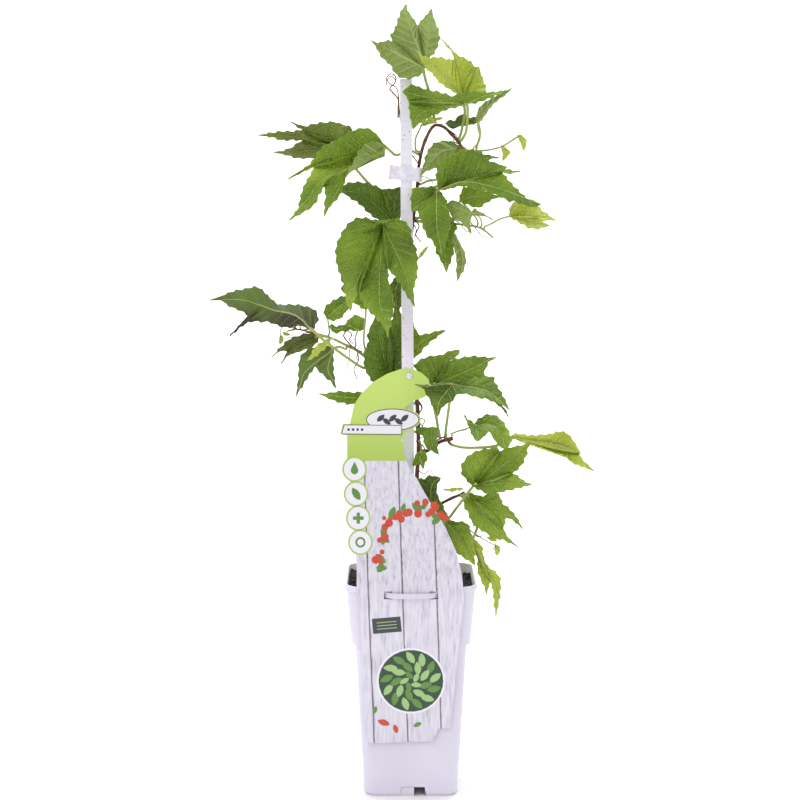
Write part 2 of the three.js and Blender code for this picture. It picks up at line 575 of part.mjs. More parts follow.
    on: 'mid_shoot', side: 'upper',
    stalk: [[24, 329, -4], [23.5, 336, 0], [19.5, 342.5, 6]],
    edge: [
      [[10, 342, 6], [3.5, 343, 6], [8.5, 338, 9], [12, 333, 11], [12.5, 327.5, 13],
       [15.5, 324, 14], [26, 318, 20]],
      [[25, 324, 17], [24, 331, 13], [24.5, 342.5, 7]],
    ],
  },
  leaf_mid_small: {
    on: 'main', side: 'upper',
    stalk: [[7.5, 331, -7], [9.5, 326.5, -1], [9.5, 321, 4.5]],
    edge: [
      [[5, 318.5, 6], [3, 315.5, 6.5], [2.5, 308, 7.5], [8.5, 309.5, 7], [11, 304, 8]],
      [[14, 312, 7], [15.5, 315.5, 6], [13.5, 320.5, 5]],
    ],
  },
  leaf_right_curled: {
    on: 'mid_shoot', side: 'upper',
    stalk: [[38, 337, -6], [43, 340, -6], [50, 342, -4], [60.5, 346, 2]],
    bends: { 0: [[70, 348.5, 2], [84, 342, 5]] },
    edge: [
      [[64, 352.5, -2], [70.5, 355.5, -5], [79, 354.5, -5], [85, 349.5, -2], [91, 340, 4],
       [93.5, 332.5, 9], [91, 326, 13], [87, 323.5, 16]],
      [[81, 327.5, 15], [76.5, 334.5, 13], [73, 340.5, 11]],
      [[69, 336.5, 13], [65.5, 333, 15], [61, 331, 18]],
      [[56, 338, 13], [55, 342, 9]],
      [[49, 356.5, 0]],
      [[53, 351.5, 1], [57, 349.5, 2]],
    ],
  },
  leaf_right_long: {
    on: 'mid_shoot', side: 'upper',
    stalk: [[36, 329, -8], [45.5, 325.5, -8], [64, 325, -7], [80, 327, -7], [88.5, 331, -6],
            [94, 335, -5]],
    edge: [
      [[98.5, 338, -7], [108, 336.5, -11], [120, 336.5, -18], [131, 338, -26], [139, 340, -34],
       [145.5, 338, -38], [150.5, 332.5, -41], [155, 325, -43], [159.5, 318.5, -45]],
      [[156.5, 320, -39]],
      [[158.5, 315.5, -41], [163.5, 310, -45], [172, 302, -52]],
      [[159.5, 307, -39], [149.5, 311.5, -31], [144, 317, -25], [136.5, 319.5, -21],
       [127.5, 322.5, -15], [119, 325, -10], [112.5, 328.5, -8], [105, 331, -6]],
    ],
  },
  leaf_right_broad: {
    on: 'main', side: 'upper',
    stalk: [[12, 251, -10], [21.5, 252.5, -10], [29, 255, -8.5], [34.5, 258.5, -6], [41, 267, -2],
            [47.5, 275.5, 0], [59, 290.5, 6]],
    edge: [
      [[52, 294.5, 4], [47, 301.5, 2], [47, 308, 0], [51.5, 315.5, -2], [57.5, 320, -4],
       [65.5, 323, -6], [72.5, 324, -8], [80, 326, -10]],
      [[82.5, 321.5, -4]],
      [[90.5, 325, -4], [100.5, 326.5, -3], [112, 330.5, -2]],
      [[108.5, 323, -2], [106, 314, -2], [101.5, 307, 1], [94.5, 301, 4]],
      [[99, 299, 6], [105, 294, 10], [113.5, 290.5, 15]],
      [[103.5, 288.5, 14], [94, 286, 13], [84.5, 284, 13], [77.5, 282.5, 13], [70.5, 282.5, 12],
       [64, 285.5, 9]],
    ],
  },
  leaf_right_lower: {
    on: 'low_shoot', side: 'upper',
    stalk: [[46.5, 280.5, -7.5], [49.5, 281, -6.5], [52, 281, -4.5]],
    edge: [
      [[48.5, 276, -3], [50, 269.5, -1], [54, 263, 1], [56, 256.5, 3], [62.5, 250.5, 5],
       [71.5, 244.5, 6], [77.5, 241, 7], [87.5, 238.5, 9], [101, 231.5, 13]],
      [[90.5, 241.5, 7], [86, 250, 1]],
      [[89.5, 259.5, -7], [96.5, 256, -13], [105, 248, -19]],
      [[98.5, 260, -15], [92.5, 267, -12], [84.5, 274.5, -9], [82, 281.5, -7], [73, 282, -5],
       [65, 279.5, -4], [58, 282, -4]],
    ],
  },
  leaf_low_label: {
    on: 'main', side: 'upper',
    stalk: [[8.5, 273.5, -7], [12.5, 271, -2], [18.5, 267.5, 7]],
    edge: [
      [[13, 276, 10], [6.5, 285.5, 9], [4, 296.5, 10], [11, 295.5, 12], [15, 298, 12],
       [23, 298.5, 13], [28, 296.5, 14]],
      [[24.5, 290, 13], [24.5, 282, 13], [27, 275.5, 14]],
      [[31.5, 266.5, 15], [36.5, 257.5, 17], [43.5, 256, 19], [51.5, 255, 21], [55.5, 246.5, 24],
       [58, 233.5, 29], [60, 214.5, 36]],
      [[53, 220, 32], [45.5, 225, 27], [36.5, 233.5, 22], [28, 246.5, 15], [21, 258.5, 10]],
    ],
  },
  leaf_low_hanging: {
    on: 'low_shoot', side: 'upper',
    stalk: [[52, 282, -11], [57, 274, -12], [61, 262, -9], [61.5, 251, -4], [59.5, 244.5, 0],
            [58, 239.5, 4]],
    edge: [
      [[56.5, 233.5, 6], [59.5, 226, 10], [62, 220.5, 12], [61.5, 214, 14], [63.5, 205.5, 17],
       [67.5, 197, 20], [70, 187, 24]],
      [[72, 194.5, 22], [74, 200.5, 20]],
      [[76, 195.5, 21], [77, 183, 25], [79, 166, 30]],
      [[81.5, 179, 26], [83, 190.5, 20], [83, 203.5, 15], [78.5, 209.5, 12], [73, 213, 10],
       [68, 219.5, 8], [67, 228, 5], [65.5, 234, 4], [61.5, 238, 3]],
    ],
  },
  leaf_back_high: {
    on: 'main', side: 'under',
    stalk: [[-7, 493, -14.5], [-11, 497.5, -24], [-17.5, 501.5, -32]],
    edge: [
      [[-12, 508.5, -33], [-12, 520, -40], [-21.5, 529, -50]],
      [[-27, 518, -46]],
      [[-42, 525.5, -52], [-56.5, 523.5, -62]],
      [[-55, 510.5, -54], [-51, 503, -48]],
      [[-57.5, 492, -52], [-58.5, 479, -60]],
      [[-45.5, 479, -52], [-32.5, 484.5, -44], [-23, 492, -36]],
    ],
  },
  leaf_back_right: {
    on: 'main', side: 'under',
    stalk: [[7.5, 570, -7.5], [16, 573, -16], [29, 574.5, -26]],
    edge: [
      [[28, 582, -30], [32.5, 590.5, -38], [42, 595, -48]],
      [[47.5, 588.5, -44]],
      [[58.5, 594.5, -52], [73.5, 588.5, -63]],
      [[68, 581, -54], [58.5, 577.5, -46]],
      [[64, 571, -50], [68, 567, -58]],
      [[55, 568, -46], [43.5, 569, -38], [34.5, 570, -30]],
    ],
  },
  leaf_back_mid: {
    on: 'main', side: 'under',
    stalk: [[-3.5, 408.5, -21.5], [3, 401, -28], [12, 395, -34]],
    edge: [
      [[10, 402, -38], [16, 405.5, -44], [27, 408.5, -52]],
      [[30.5, 402.5, -48]],
      [[43.5, 405.5, -54], [60.5, 402.5, -63]],
      [[51, 395, -54], [42, 389.5, -48]],
      [[45.5, 382, -52], [47.5, 377.5, -58]],
      [[32.5, 379.5, -48], [21.5, 384, -40]],
    ],
  },
  leaf_back_label: {
    on: 'main', side: 'under',
    stalk: [[3.5, 339.5, -11], [-5.5, 335.5, -20], [-15, 332, -28]],
    edge: [
      [[-16.5, 340.5, -32], [-25, 349, -40], [-36.5, 356, -50]],
      [[-37, 341.5, -46]],
      [[-47.5, 335.5, -54], [-55, 321, -64]],
      [[-45.5, 317, -54], [-34.5, 313.5, -46]],
      [[-33.5, 302, -52], [-31, 288, -62]],
      [[-21.5, 301, -46], [-12, 313.5, -36], [-10, 323.5, -30]],
    ],
  },
  leaf_back_low: {
    on: 'main', side: 'under',
    stalk: [[3.5, 274.5, -9], [-4.5, 276, -18], [-13, 274.5, -26]],
    edge: [
      [[-12, 281, -30], [-15, 287, -36], [-22, 293, -44]],
      [[-27, 281, -42]],
      [[-40, 283, -53], [-51, 274, -64]],
      [[-43, 265, -54], [-34.5, 258, -46]],
      [[-36.5, 246.5, -50], [-34.5, 231.5, -60]],
      [[-23, 241, -48], [-14, 252, -38], [-10, 265, -30]],
    ],
  },
};

const MATERIALS = {
  potPlastic: new THREE.MeshStandardMaterial({ color: '#e4e1ea', roughness: 0.42 }),
  stakePlastic: new THREE.MeshStandardMaterial({ color: '#ece9f0', roughness: 0.38 }),
  clipPlastic: new THREE.MeshStandardMaterial({ color: '#e6e4ee', roughness: 0.35 }),
  labelCard: new THREE.MeshStandardMaterial({ color: '#b9d274', roughness: 0.5 }),
  soil: new THREE.MeshStandardMaterial({ color: '#1b1310', roughness: 0.95 }),
  bark: new THREE.MeshStandardMaterial({ color: '#6b2b22', roughness: 0.7 }),
  leaf: new THREE.MeshStandardMaterial({ color: '#6b9a3a', roughness: 0.45 }),
  youngLeaf: new THREE.MeshStandardMaterial({ color: '#8fb53f', roughness: 0.4 }),
};
for (const [name, material] of Object.entries(MATERIALS)) {
  material.name = name;
  material.metalness = 0;
}

const plant = new THREE.Group();
plant.name = 'potted_boston_ivy';

function place(name, geometry, material) {
  const mesh = new THREE.Mesh(geometry, material);
  mesh.name = name;
  plant.add(mesh);
  return mesh;
}

function withoutSlivers(corners) {
  const kept = [];
  for (let i = 0; i < corners.length; i += 3) {
    const [a, b, c] = corners.slice(i, i + 3);
    if (a !== b && b !== c && c !== a) kept.push(a, b, c);
  }
  return kept;
}

// Vertices that lie together are made one, and triangles that this closes up are dropped.
function welded(geometry) {
  const bare = geometry.clone();
  bare.deleteAttribute('normal');
  bare.deleteAttribute('uv');
  const merged = mergeVertices(bare, 1e-3);
  merged.setIndex(withoutSlivers(merged.index.array));
  return merged;
}

function toSolid(geometry) {
  const mesh = welded(geometry);
  const vertProperties = new Float32Array(mesh.attributes.position.array);
  const triVerts = new Uint32Array(mesh.index.array);
  return new wasm.Manifold(new wasm.Mesh({ numProp: 3, vertProperties, triVerts }));
}

// Each short edge's two ends are made one, and the triangles beside it go.
function toGeometry(solid) {
  const { vertProperties, triVerts } = solid.getMesh();
  const point = (i) => new THREE.Vector3().fromArray(vertProperties, 3 * i);
  const joined = [...Array(vertProperties.length / 3).keys()];
  const root = (i) => (joined[i] === i ? i : root(joined[i]));
  for (let i = 0; i < triVerts.length; i += 1) {
    const a = triVerts[i];
    const b = triVerts[i % 3 === 2 ? i - 2 : i + 1];
    if (point(a).distanceTo(point(b)) < SHORT_EDGE) {
      joined[Math.max(root(a), root(b))] = Math.min(root(a), root(b));
    }
  }
  const geometry = new THREE.BufferGeometry();
  geometry.setAttribute('position', new THREE.BufferAttribute(vertProperties, 3));
  geometry.setIndex(withoutSlivers([...triVerts].map(root)));
  return geometry;
}

function extrude(shape, depth, curveSegments = 4) {
  return new THREE.ExtrudeGeometry(shape, { depth, bevelEnabled: false, curveSegments });
}

// The pot. Each level of its profile is [half width, height], and is a square with round
// corners, so a lathed ring is pulled out square corner by corner.
const ARC_POINTS = 7;
const RING_POINTS = 4 * ARC_POINTS;

function squareTurned(profile, bump = () => 0) {
  const points = profile.map(([half, height]) => new THREE.Vector2(half, height));
  const geometry = new THREE.LatheGeometry(points, RING_POINTS);
  geometry.rotateX(Math.PI / 2);
  const position = geometry.attributes.position;
  for (let i = 0; i < position.count; i += 1) {
    const ring = Math.floor(i / points.length) % RING_POINTS;
    const { x: half, y: height } = points[i % points.length];
    const radius = (POT_CORNER_RADIUS * half) / POT_RIM_HALF;
    const corner = Math.floor(ring / ARC_POINTS);
    const turn = ((corner + (ring % ARC_POINTS) / (ARC_POINTS - 1)) * Math.PI) / 2;
    const middle = ((corner + 0.5) * Math.PI) / 2;
    const reach = Math.SQRT2 * (half - radius);
    const x = reach * Math.cos(middle) + radius * Math.cos(turn);
    const y = reach * Math.sin(middle) + radius * Math.sin(turn);
    position.setXYZ(i, x, y, height + bump(x, y, height));
  }
  return geometry;
}

// The outside half width of the plain wall at a height, and the same line inside it.
function wallHalf(height) {
  const stepTop = COLLAR_FOOT;
  const stepFoot = COLLAR_FOOT - COLLAR_STEP;
  if (height >= stepTop) {
    return THREE.MathUtils.mapLinear(height, stepTop, POT_HEIGHT, COLLAR_FOOT_HALF, POT_RIM_HALF - 1);
  }
  if (height >= stepFoot) {
    return THREE.MathUtils.mapLinear(height, stepFoot, stepTop, BODY_TOP_HALF, COLLAR_FOOT_HALF);
  }
  return THREE.MathUtils.mapLinear(height, BODY_FOOT, stepFoot, BODY_FOOT_HALF, BODY_TOP_HALF);
}

function makePot() {
  const stepFoot = COLLAR_FOOT - COLLAR_STEP;
  const floorTop = BASE_UNDERSIDE + BASE_THICKNESS;
  const footHalf = BODY_FOOT_HALF - FOOT_INSET;
  const inner = (height) => [wallHalf(height) - POT_WALL, height];
  const wall = squareTurned([
    [0, BASE_UNDERSIDE],
    [footHalf - POT_WALL, BASE_UNDERSIDE],
    [footHalf - POT_WALL, 0],
    [footHalf, 0],
    [footHalf, BODY_FOOT],
    [BODY_FOOT_HALF, BODY_FOOT],
    [wallHalf(stepFoot), stepFoot],
    [wallHalf(COLLAR_FOOT), COLLAR_FOOT],
    [wallHalf(POT_HEIGHT - 6), POT_HEIGHT - 6],
    [POT_RIM_HALF, POT_HEIGHT - 4.6],
    [POT_RIM_HALF, POT_HEIGHT - 1],
    [POT_RIM_HALF - 0.8, POT_HEIGHT],
    [POT_RIM_HALF - 2, POT_HEIGHT],
    inner(POT_HEIGHT - 6),
    inner(COLLAR_FOOT),
    inner(stepFoot),
    inner(floorTop),
    [0, floorTop],
  ]);
  let pot = toSolid(wall);

  // A drain slot is cut through the foot of each side, with a tab panel sunk beside it.
  for (let side = 0; side < 4; side += 1) {
    const slot = new THREE.Shape();
    slot.moveTo(SLOT_LEFT, SLOT_TOP);
    slot.lineTo(SLOT_LEFT, -1);
    slot.lineTo(SLOT_RIGHT + 2, -1);
    slot.lineTo(SLOT_RIGHT, SLOT_TOP);
    const tab = new THREE.Shape();
    tab.moveTo(TAB_LEFT + 1.6, SLOT_TOP);
    tab.lineTo(TAB_LEFT, -1);
    tab.lineTo(SLOT_LEFT, -1);
    tab.lineTo(SLOT_LEFT, SLOT_TOP);
    const slotCut = extrude(slot, 12).rotateX(Math.PI / 2).translate(0, 8 - BODY_FOOT_HALF, 0);
    const tabCut = extrude(tab, 12).rotateX(Math.PI / 2);
    tabCut.translate(0, TAB_SUNK - BODY_FOOT_HALF, 0);
    slotCut.rotateZ((side * Math.PI) / 2);
    tabCut.rotateZ((side * Math.PI) / 2);
    pot = pot.subtract(toSolid(slotCut)).subtract(toSolid(tabCut));
  }

  // The strap bows out of the front of the collar, rooted in it at both ends.
  const collarFront = wallHalf(STRAP_LOW) - POT_WALL / 2;
  const bow = STRAP_BOW - collarFront;
  const outer = [];
  const inside = [];
  const strapSteps = 12;
  for (let i = 0; i <= strapSteps; i += 1) {
    const share = (2 * i) / strapSteps - 1;
    const swell = 1 - share ** 4;
    const innerSpan = STRAP_HALF_SPAN - STRAP_THICKNESS;
    outer.push(new THREE.Vector2(share * STRAP_HALF_SPAN, -collarFront - bow * swell));
    const innerBow = (bow - STRAP_THICKNESS) * swell;
    inside.unshift(new THREE.Vector2(share * innerSpan, -collarFront - innerBow));
  }
  const strap = extrude(new THREE.Shape([...outer, ...inside]), STRAP_HEIGHT);
  return pot.add(toSolid(strap.translate(0, 0, STRAP_LOW)));
}

// A tube along a curve, with a section of a few sides that shrinks evenly to its end.
function tube(points, startRadius, endRadius, sides, stepLength) {
  const path = new THREE.CatmullRomCurve3(points, false, 'centripetal');
  const steps = Math.max(2, Math.round(path.getLength() / stepLength));
  const section = new THREE.Shape();
  for (let i = 0; i < sides; i += 1) {
    const turn = (2 * Math.PI * i) / sides;
    const [x, y] = [startRadius * Math.cos(turn), startRadius * Math.sin(turn)];
    if (i === 0) section.moveTo(x, y);
    else section.lineTo(x, y);
  }
  const options = { steps, bevelEnabled: false, extrudePath: path };
  const geometry = new THREE.ExtrudeGeometry(section, options);
  const centres = path.getSpacedPoints(steps);
  const position = geometry.attributes.position;
  const vertex = new THREE.Vector3();
  for (let i = 0; i < position.count; i += 1) {
    vertex.fromBufferAttribute(position, i);
    const distances = centres.map((centre) => centre.distanceTo(vertex));
    const step = distances.indexOf(Math.min(...distances));
    const scale = THREE.MathUtils.lerp(1, endRadius / startRadius, step / steps);
    vertex.sub(centres[step]).multiplyScalar(scale).add(centres[step]);
    position.setXYZ(i, vertex.x, vertex.y, vertex.z);
  }
  return geometry;
}

// The point of a shoot's centre line nearest to a place, with its direction and radius there.
const SEAT_SAMPLES = 600;
const shoots = {};

function seatOn(name, place) {
  const { path, radii } = shoots[name];
  let best = 0;
  let shortest = Infinity;
  for (let i = 0; i <= SEAT_SAMPLES; i += 1) {
    const distance = path.getPointAt(i / SEAT_SAMPLES).distanceTo(place);
    if (distance < shortest) {
      shortest = distance;
      best = i / SEAT_SAMPLES;
    }
  }
  return {
    centre: path.getPointAt(best),
    along: path.getTangentAt(best),
    radius: THREE.MathUtils.lerp(radii[0], radii[1], best),
  };
}

// The woody stem with its side shoots, tendrils and unfolding leaflets, which grew as one.
function makeStem() {
  let stem = null;
  for (const [name, { on, radii, route }] of Object.entries(STEMS)) {
    const points = route.map(drawn);
    if (on) points.unshift(seatOn(on, points[0]).centre);
    shoots[name] = { radii, path: new THREE.CatmullRomCurve3(points, false, 'centripetal') };
    const shoot = toSolid(tube(points, radii[0], radii[1], SHOOT_SIDES, SHOOT_STEP));
    stem = stem ? stem.add(shoot) : shoot;
  }
  for (const route of TENDRILS) {
    const tendril = tube(route.map(drawn), TENDRIL_RADIUS, TENDRIL_RADIUS * 0.8, 5, 5);
    stem = stem.add(toSolid(tendril));
  }
  for (const { side, joint, edge } of LEAFLETS) {
    stem = stem.add(toSolid(makeBlade(side, drawn(joint), edge).geometry));
  }
  return stem;
}

// Where the vein that ends at each sample of an edge leaves the rib, as a share of the rib.
function veinFeet(edge, ribPoints, ribLength) {
  let foot = 0;
  return edge.getSpacedPoints(EDGE_SAMPLES).map((point, i) => {
    if (i === EDGE_SAMPLES) return 1;
    const gaps = ribPoints.map((ribPoint) => ribPoint.distanceTo(point));
    const gap = Math.min(...gaps);
    foot = Math.max(foot, gaps.indexOf(gap) / EDGE_SAMPLES - (VEIN_SLANT * gap) / ribLength);
    return Math.min(foot, 1 - 1 / EDGE_SAMPLES);
  });
}

// How far along its edge, from notch to tip, the vein ends that leaves the rib at a share of it.
function veinEnd(feet, share) {
  const after = feet.findIndex((foot) => foot > share);
  if (after <= 0) return after === 0 ? 0 : 1;
  return THREE.MathUtils.mapLinear(share, feet[after - 1], feet[after], after - 1, after) / EDGE_SAMPLES;
}

// A thin blade spread between its ribs and its edge. From the base to the first vein the edge
// is reached by straight rays, and beyond it by the veins of each rib. The edge is cut into
// forward-pointing teeth, one to a vein, and both faces are split into triangles alike.
function makeBlade(side, joint, edge, bends = {}) {
  const stretches = edge.map((stretch) => stretch.map(drawn));
  const outline = stretches.flat();
  const mean = new THREE.Vector3();
  for (const point of outline) mean.addScaledVector(point, 1 / outline.length);
  const inward = mean.sub(joint).normalize();
  const sinus = joint.clone().addScaledVector(inward, -SINUS_SET_BACK);

  const loop = [sinus, ...outline];
  const facing = new THREE.Vector3();
  loop.forEach((point, i) => {
    const next = loop[(i + 1) % loop.length];
    facing.add(point.clone().sub(joint).cross(next.clone().sub(joint)));
  });
  facing.normalize();
  const turned = (side === 'upper') !== (facing.y < 0);
  const upward = turned ? facing.clone().negate() : facing;

  const top = [joint, sinus];
  const add = (point) => top.push(point) - 1;
  const rim = [];
  const faces = [];
  let notch = 1;
  for (let lobe = 0; lobe < stretches.length; lobe += 2) {
    const isLast = lobe + 2 === stretches.length;
    const tip = add(stretches[lobe].at(-1));
    const nextNotch = isLast ? 1 : add(stretches[lobe + 1].at(-1));
    const rise = [top[notch], ...stretches[lobe]];
    const fall = [top[tip], ...stretches[lobe + 1], ...(isLast ? [sinus] : [])];
    const edges = [rise, fall.reverse()].map((stops) => {
      return new THREE.CatmullRomCurve3(stops, false, 'centripetal');
    });
    const lengths = edges.map((curve) => curve.getLength());

    // The rib bends as drawn, or runs midway between the lobe's two edges and on to the base.
    const midway = (share) => {
      const back = share * Math.min(...lengths);
      const [a, b] = edges.map((curve, i) => curve.getPointAt(1 - back / lengths[i]));
      return a.lerp(b, 0.5);
    };
    const middle = bends[lobe / 2]?.map(drawn) ?? [midway(0.7), midway(0.35)];
    const ribStops = [joint, ...middle, top[tip]];
    const rib = new THREE.CatmullRomCurve3(ribStops, false, 'centripetal');
    const ribPoints = rib.getSpacedPoints(EDGE_SAMPLES);
    const feet = edges.map((curve) => veinFeet(curve, ribPoints, rib.getLength()));
    const rayShares = feet.map((list) => veinEnd(list, 0));
    const veined = Math.max(...lengths.map((length, i) => length * (1 - rayShares[i])));
    const veins = Math.max(2, Math.round(veined / TOOTH_SPACING));

    const roots = [0];
    for (let vein = 1; vein < veins; vein += 1) {
      const foot = rib.getPointAt(vein / veins);
      const ends = edges.map((curve, i) => curve.getPointAt(veinEnd(feet[i], vein / veins)));
      const halfWidth = Math.min(...ends.map((end) => end.distanceTo(foot)));
      roots.push(add(foot.addScaledVector(upward, -RIB_VALLEY * halfWidth)));
    }
    roots.push(tip);

    edges.forEach((curve, i) => {
      const rays = Math.round((lengths[i] * rayShares[i]) / TOOTH_SPACING);
      const columns = [{ root: 0, share: 0, end: i === 0 ? notch : nextNotch }];
      for (let ray = 1; ray <= rays; ray += 1) {
        columns.push({ root: 0, share: (rayShares[i] * ray) / rays });
      }
      for (let vein = 1; vein < veins; vein += 1) {
        columns.push({ root: roots[vein], share: veinEnd(feet[i], vein / veins) });
      }
      columns.push({ root: tip, share: 1, end: tip });

      const walked = [columns[0].end];
      for (let c = 1; c < columns.length; c += 1) {
        const [before, column] = columns.slice(c - 1, c + 1);
        const length = (column.share - before.share) * lengths[i];
        const corners = [before.root, before.end];
        if (length < TOOTH_SPACING / 5 && column.end === undefined) column.end = before.end;
        column.end ??= add(curve.getPointAt(column.share));
        if (length > TOOTH_SPACING / 2) {
          const peak = THREE.MathUtils.lerp(before.share, column.share, 0.5 + TOOTH_LEAN);
          const outward = curve.getTangentAt(peak).cross(facing).normalize();
          const depth = (i === 0 ? 1 : -1) * TOOTH_DEPTH * Math.min(1, 5 * peak * (1 - peak));
          corners.push(add(curve.getPointAt(peak).addScaledVector(outward, depth)));
          walked.push(corners.at(-1));
        }
        corners.push(column.end, column.root);
        walked.push(column.end);
        const kept = corners.filter((corner, k) => corners.indexOf(corner) === k);
        const apex = Math.min(2, kept.length - 2);
        const turnedRound = [...kept.slice(apex), ...kept.slice(0, apex)];
        for (let k = 1; k < kept.length - 1; k += 1) {
          const face = [turnedRound[0], turnedRound[k], turnedRound[k + 1]];
          faces.push(i === 0 ? face : face.reverse());
        }
      }
      const shown = walked.filter((corner, k) => corner !== walked[k - 1]);
      rim.push(...(i === 0 ? shown : shown.reverse()).slice(0, -1));
    });
    notch = nextNotch;
  }
  if (turned) {
    rim.reverse();
    for (const face of faces) face.reverse();
  }

  const bottomOf = (i) => i + top.length;
  const sides = rim.flatMap((a, i) => {
    const b = rim[(i + 1) % rim.length];
    return [[a, bottomOf(a), bottomOf(b)], [a, bottomOf(b), b]];
  });
  const normals = top.map(() => new THREE.Vector3());
  for (const face of faces) {
    const [a, b, c] = face.map((i) => top[i]);
    const area = b.clone().sub(a).cross(c.clone().sub(a));
    for (const i of face) normals[i].add(area);
  }
  const evened = top.map((point) => {
    const sum = new THREE.Vector3();
    top.forEach((other, i) => {
      sum.addScaledVector(normals[i], Math.exp(-point.distanceToSquared(other) / NORMAL_SPREAD ** 2));
    });
    return sum.normalize();
  });
  const under = top.map((point, i) => point.clone().addScaledVector(evened[i], -BLADE_THICKNESS));
  const underFaces = faces.map(([a, b, c]) => [bottomOf(a), bottomOf(c), bottomOf(b)]);
  const geometry = new THREE.BufferGeometry().setFromPoints([...top, ...under]);
  geometry.setIndex([...faces, ...underFaces, ...sides].flat());
  const reach = Math.max(...outline.map((point) => point.distanceTo(joint)));
  return { geometry, inward, baseNormal: evened[0], reach };
}

// The stalk leaves its shoot square to it, and runs on for a little under the blade. Where the
// blade hangs back over its stalk, the stalk ends in a short hook.
function makeLeaf({ on, side, stalk, edge, bends }) {
  const route = stalk.map(drawn);
  const joint = route.pop();
  const { geometry, inward, baseNormal, reach } = makeBlade(side, joint, edge, bends);
  const radius = THREE.MathUtils.clamp(reach * STALK_SHARE, THINNEST_STALK, THICKEST_STALK);

  const towards = route[1] ?? joint;
  const { centre, along, radius: shootRadius } = seatOn(on, route[0]);
  const out = towards.clone().sub(centre).projectOnPlane(along).normalize();
  const foot = centre.clone().addScaledVector(out, shootRadius + SEAT_GAP);
  const lead = Math.min(STALK_LEAD, 0.4 * foot.distanceTo(towards));
  const below = joint.clone().addScaledVector(baseNormal, -(BLADE_THICKNESS + radius - STALK_SUNK));
  const heading = below.clone().sub(route.at(-1)).projectOnPlane(baseNormal).normalize();
  const end = below.clone();
  if (heading.dot(inward) > 0) end.addScaledVector(inward, STALK_RUN_UNDER_BLADE);
  else end.addScaledVector(heading, STALK_HOOK);
  const points = [foot, foot.clone().addScaledVector(out, lead), ...route.slice(1), below, end];
  const stalkTube = tube(points, radius, radius, STALK_SIDES, STALK_STEP);
  return toSolid(geometry).add(toSolid(stalkTube));
}

// The stake is a moulded channel with its web to the front, leaning a little to the left.
const stakeLean = Math.atan2(STAKE_FOOT_X - STAKE_TOP_X, STAKE_TOP - STAKE_FOOT);

function channel(grow) {
  const half = STAKE_WIDTH / 2 + grow;
  const inner = half - STAKE_WALL - 2 * grow;
  const back = STAKE_FRONT + STAKE_DEPTH;
  const outline = new THREE.Shape([
    new THREE.Vector2(-half, STAKE_FRONT - grow),
    new THREE.Vector2(half, STAKE_FRONT - grow),
    new THREE.Vector2(half, back + grow),
    new THREE.Vector2(inner, back + grow),
    new THREE.Vector2(inner, STAKE_FRONT + STAKE_WALL + grow),
    new THREE.Vector2(-inner, STAKE_FRONT + STAKE_WALL + grow),
    new THREE.Vector2(-inner, back + grow),
    new THREE.Vector2(-half, back + grow),
  ]);
  const length = STAKE_TOP - STAKE_FOOT;
  return extrude(outline, length + grow).translate(0, 0, -grow)
    .rotateY(-stakeLean).translate(STAKE_FOOT_X, 0, STAKE_FOOT);
}

function bored(radius, fromY, toY) {
  return new THREE.CylinderGeometry(radius, radius, Math.abs(toY - fromY), 12)
    .translate(0, (fromY + toY) / 2, 0).translate(RIVET_X, 0, RIVET_Z);
}

function makeStake() {
  const hole = bored(RIVET_HOLE_RADIUS, STAKE_FRONT - 2, STAKE_FRONT + STAKE_WALL + 1);
  return toSolid(channel(0)).subtract(toSolid(hole));
}

// The clip is a stiff band that closes round the stake and the stem, hanging a little askew.
function roundedBox(left, right, low, high, radius) {
  const outline = new THREE.Shape();
  outline.moveTo(left + radius, low);
  outline.lineTo(right - radius, low);
  outline.absarc(right - radius, low + radius, radius, -Math.PI / 2, 0);
  outline.lineTo(right, high - radius);
  outline.absarc(right - radius, high - radius, radius, 0, Math.PI / 2);
  outline.lineTo(left + radius, high);
  outline.absarc(left + radius, high - radius, radius, Math.PI / 2, Math.PI);
  outline.lineTo(left, low + radius);
  outline.absarc(left + radius, low + radius, radius, Math.PI, 1.5 * Math.PI);
  return outline;
}

function makeClip() {
  const inner = roundedBox(CLIP_LEFT, CLIP_RIGHT, CLIP_FRONT, CLIP_BACK, CLIP_CORNER_RADIUS);
  const outer = roundedBox(CLIP_LEFT - CLIP_WALL, CLIP_RIGHT + CLIP_WALL, CLIP_FRONT - CLIP_WALL,
    CLIP_BACK + CLIP_WALL, CLIP_CORNER_RADIUS + CLIP_WALL);
  const ring = toSolid(extrude(outer, CLIP_BAND, 3));
  const cut = toSolid(extrude(inner, CLIP_BAND + 2, 3).translate(0, 0, -1));
  return toGeometry(ring.subtract(cut)).translate(0, 0, -CLIP_BAND / 2)
    .rotateY(CLIP_TILT).translate(0, 0, CLIP_HEIGHT);
}

// The label's fall from the stake over the rim and down the front: [forward, height] of the
// middle of the sheet. It lies on the stake at the top and hangs clear of the collar below.
const labelTop = -STAKE_FRONT + SEAT_GAP + LABEL_THICKNESS / 2;
const LABEL_FALL = [
  [labelTop, 402], [labelTop, 382], [6.6, 372], [10, 360], [35, 285], [56, 222], [60.8, 205],
  [61.9, 196], [61.2, 186], [48.4, 50],
];

function labelForward(height) {
  const below = Math.max(1, LABEL_FALL.findIndex(([, level]) => level <= height));
  const [[highForward, high], [lowForward, low]] = LABEL_FALL.slice(below - 1, below + 1);
  return THREE.MathUtils.mapLinear(height, high, low, highForward, lowForward);
}

// A point drawn in the elevation, set on the label where the line of sight meets the sheet.
function onLabel(across, up) {
  let point = drawn([across, up, labelForward(up)]);
  for (let turn = 0; turn < 4; turn += 1) {
    const height = THREE.MathUtils.clamp(point.z, LABEL_FALL.at(-1)[1], LABEL_FALL[0][1]);
    point = drawn([across, up, labelForward(height)]);
  }
  return new THREE.Vector2(point.x, point.z);
}

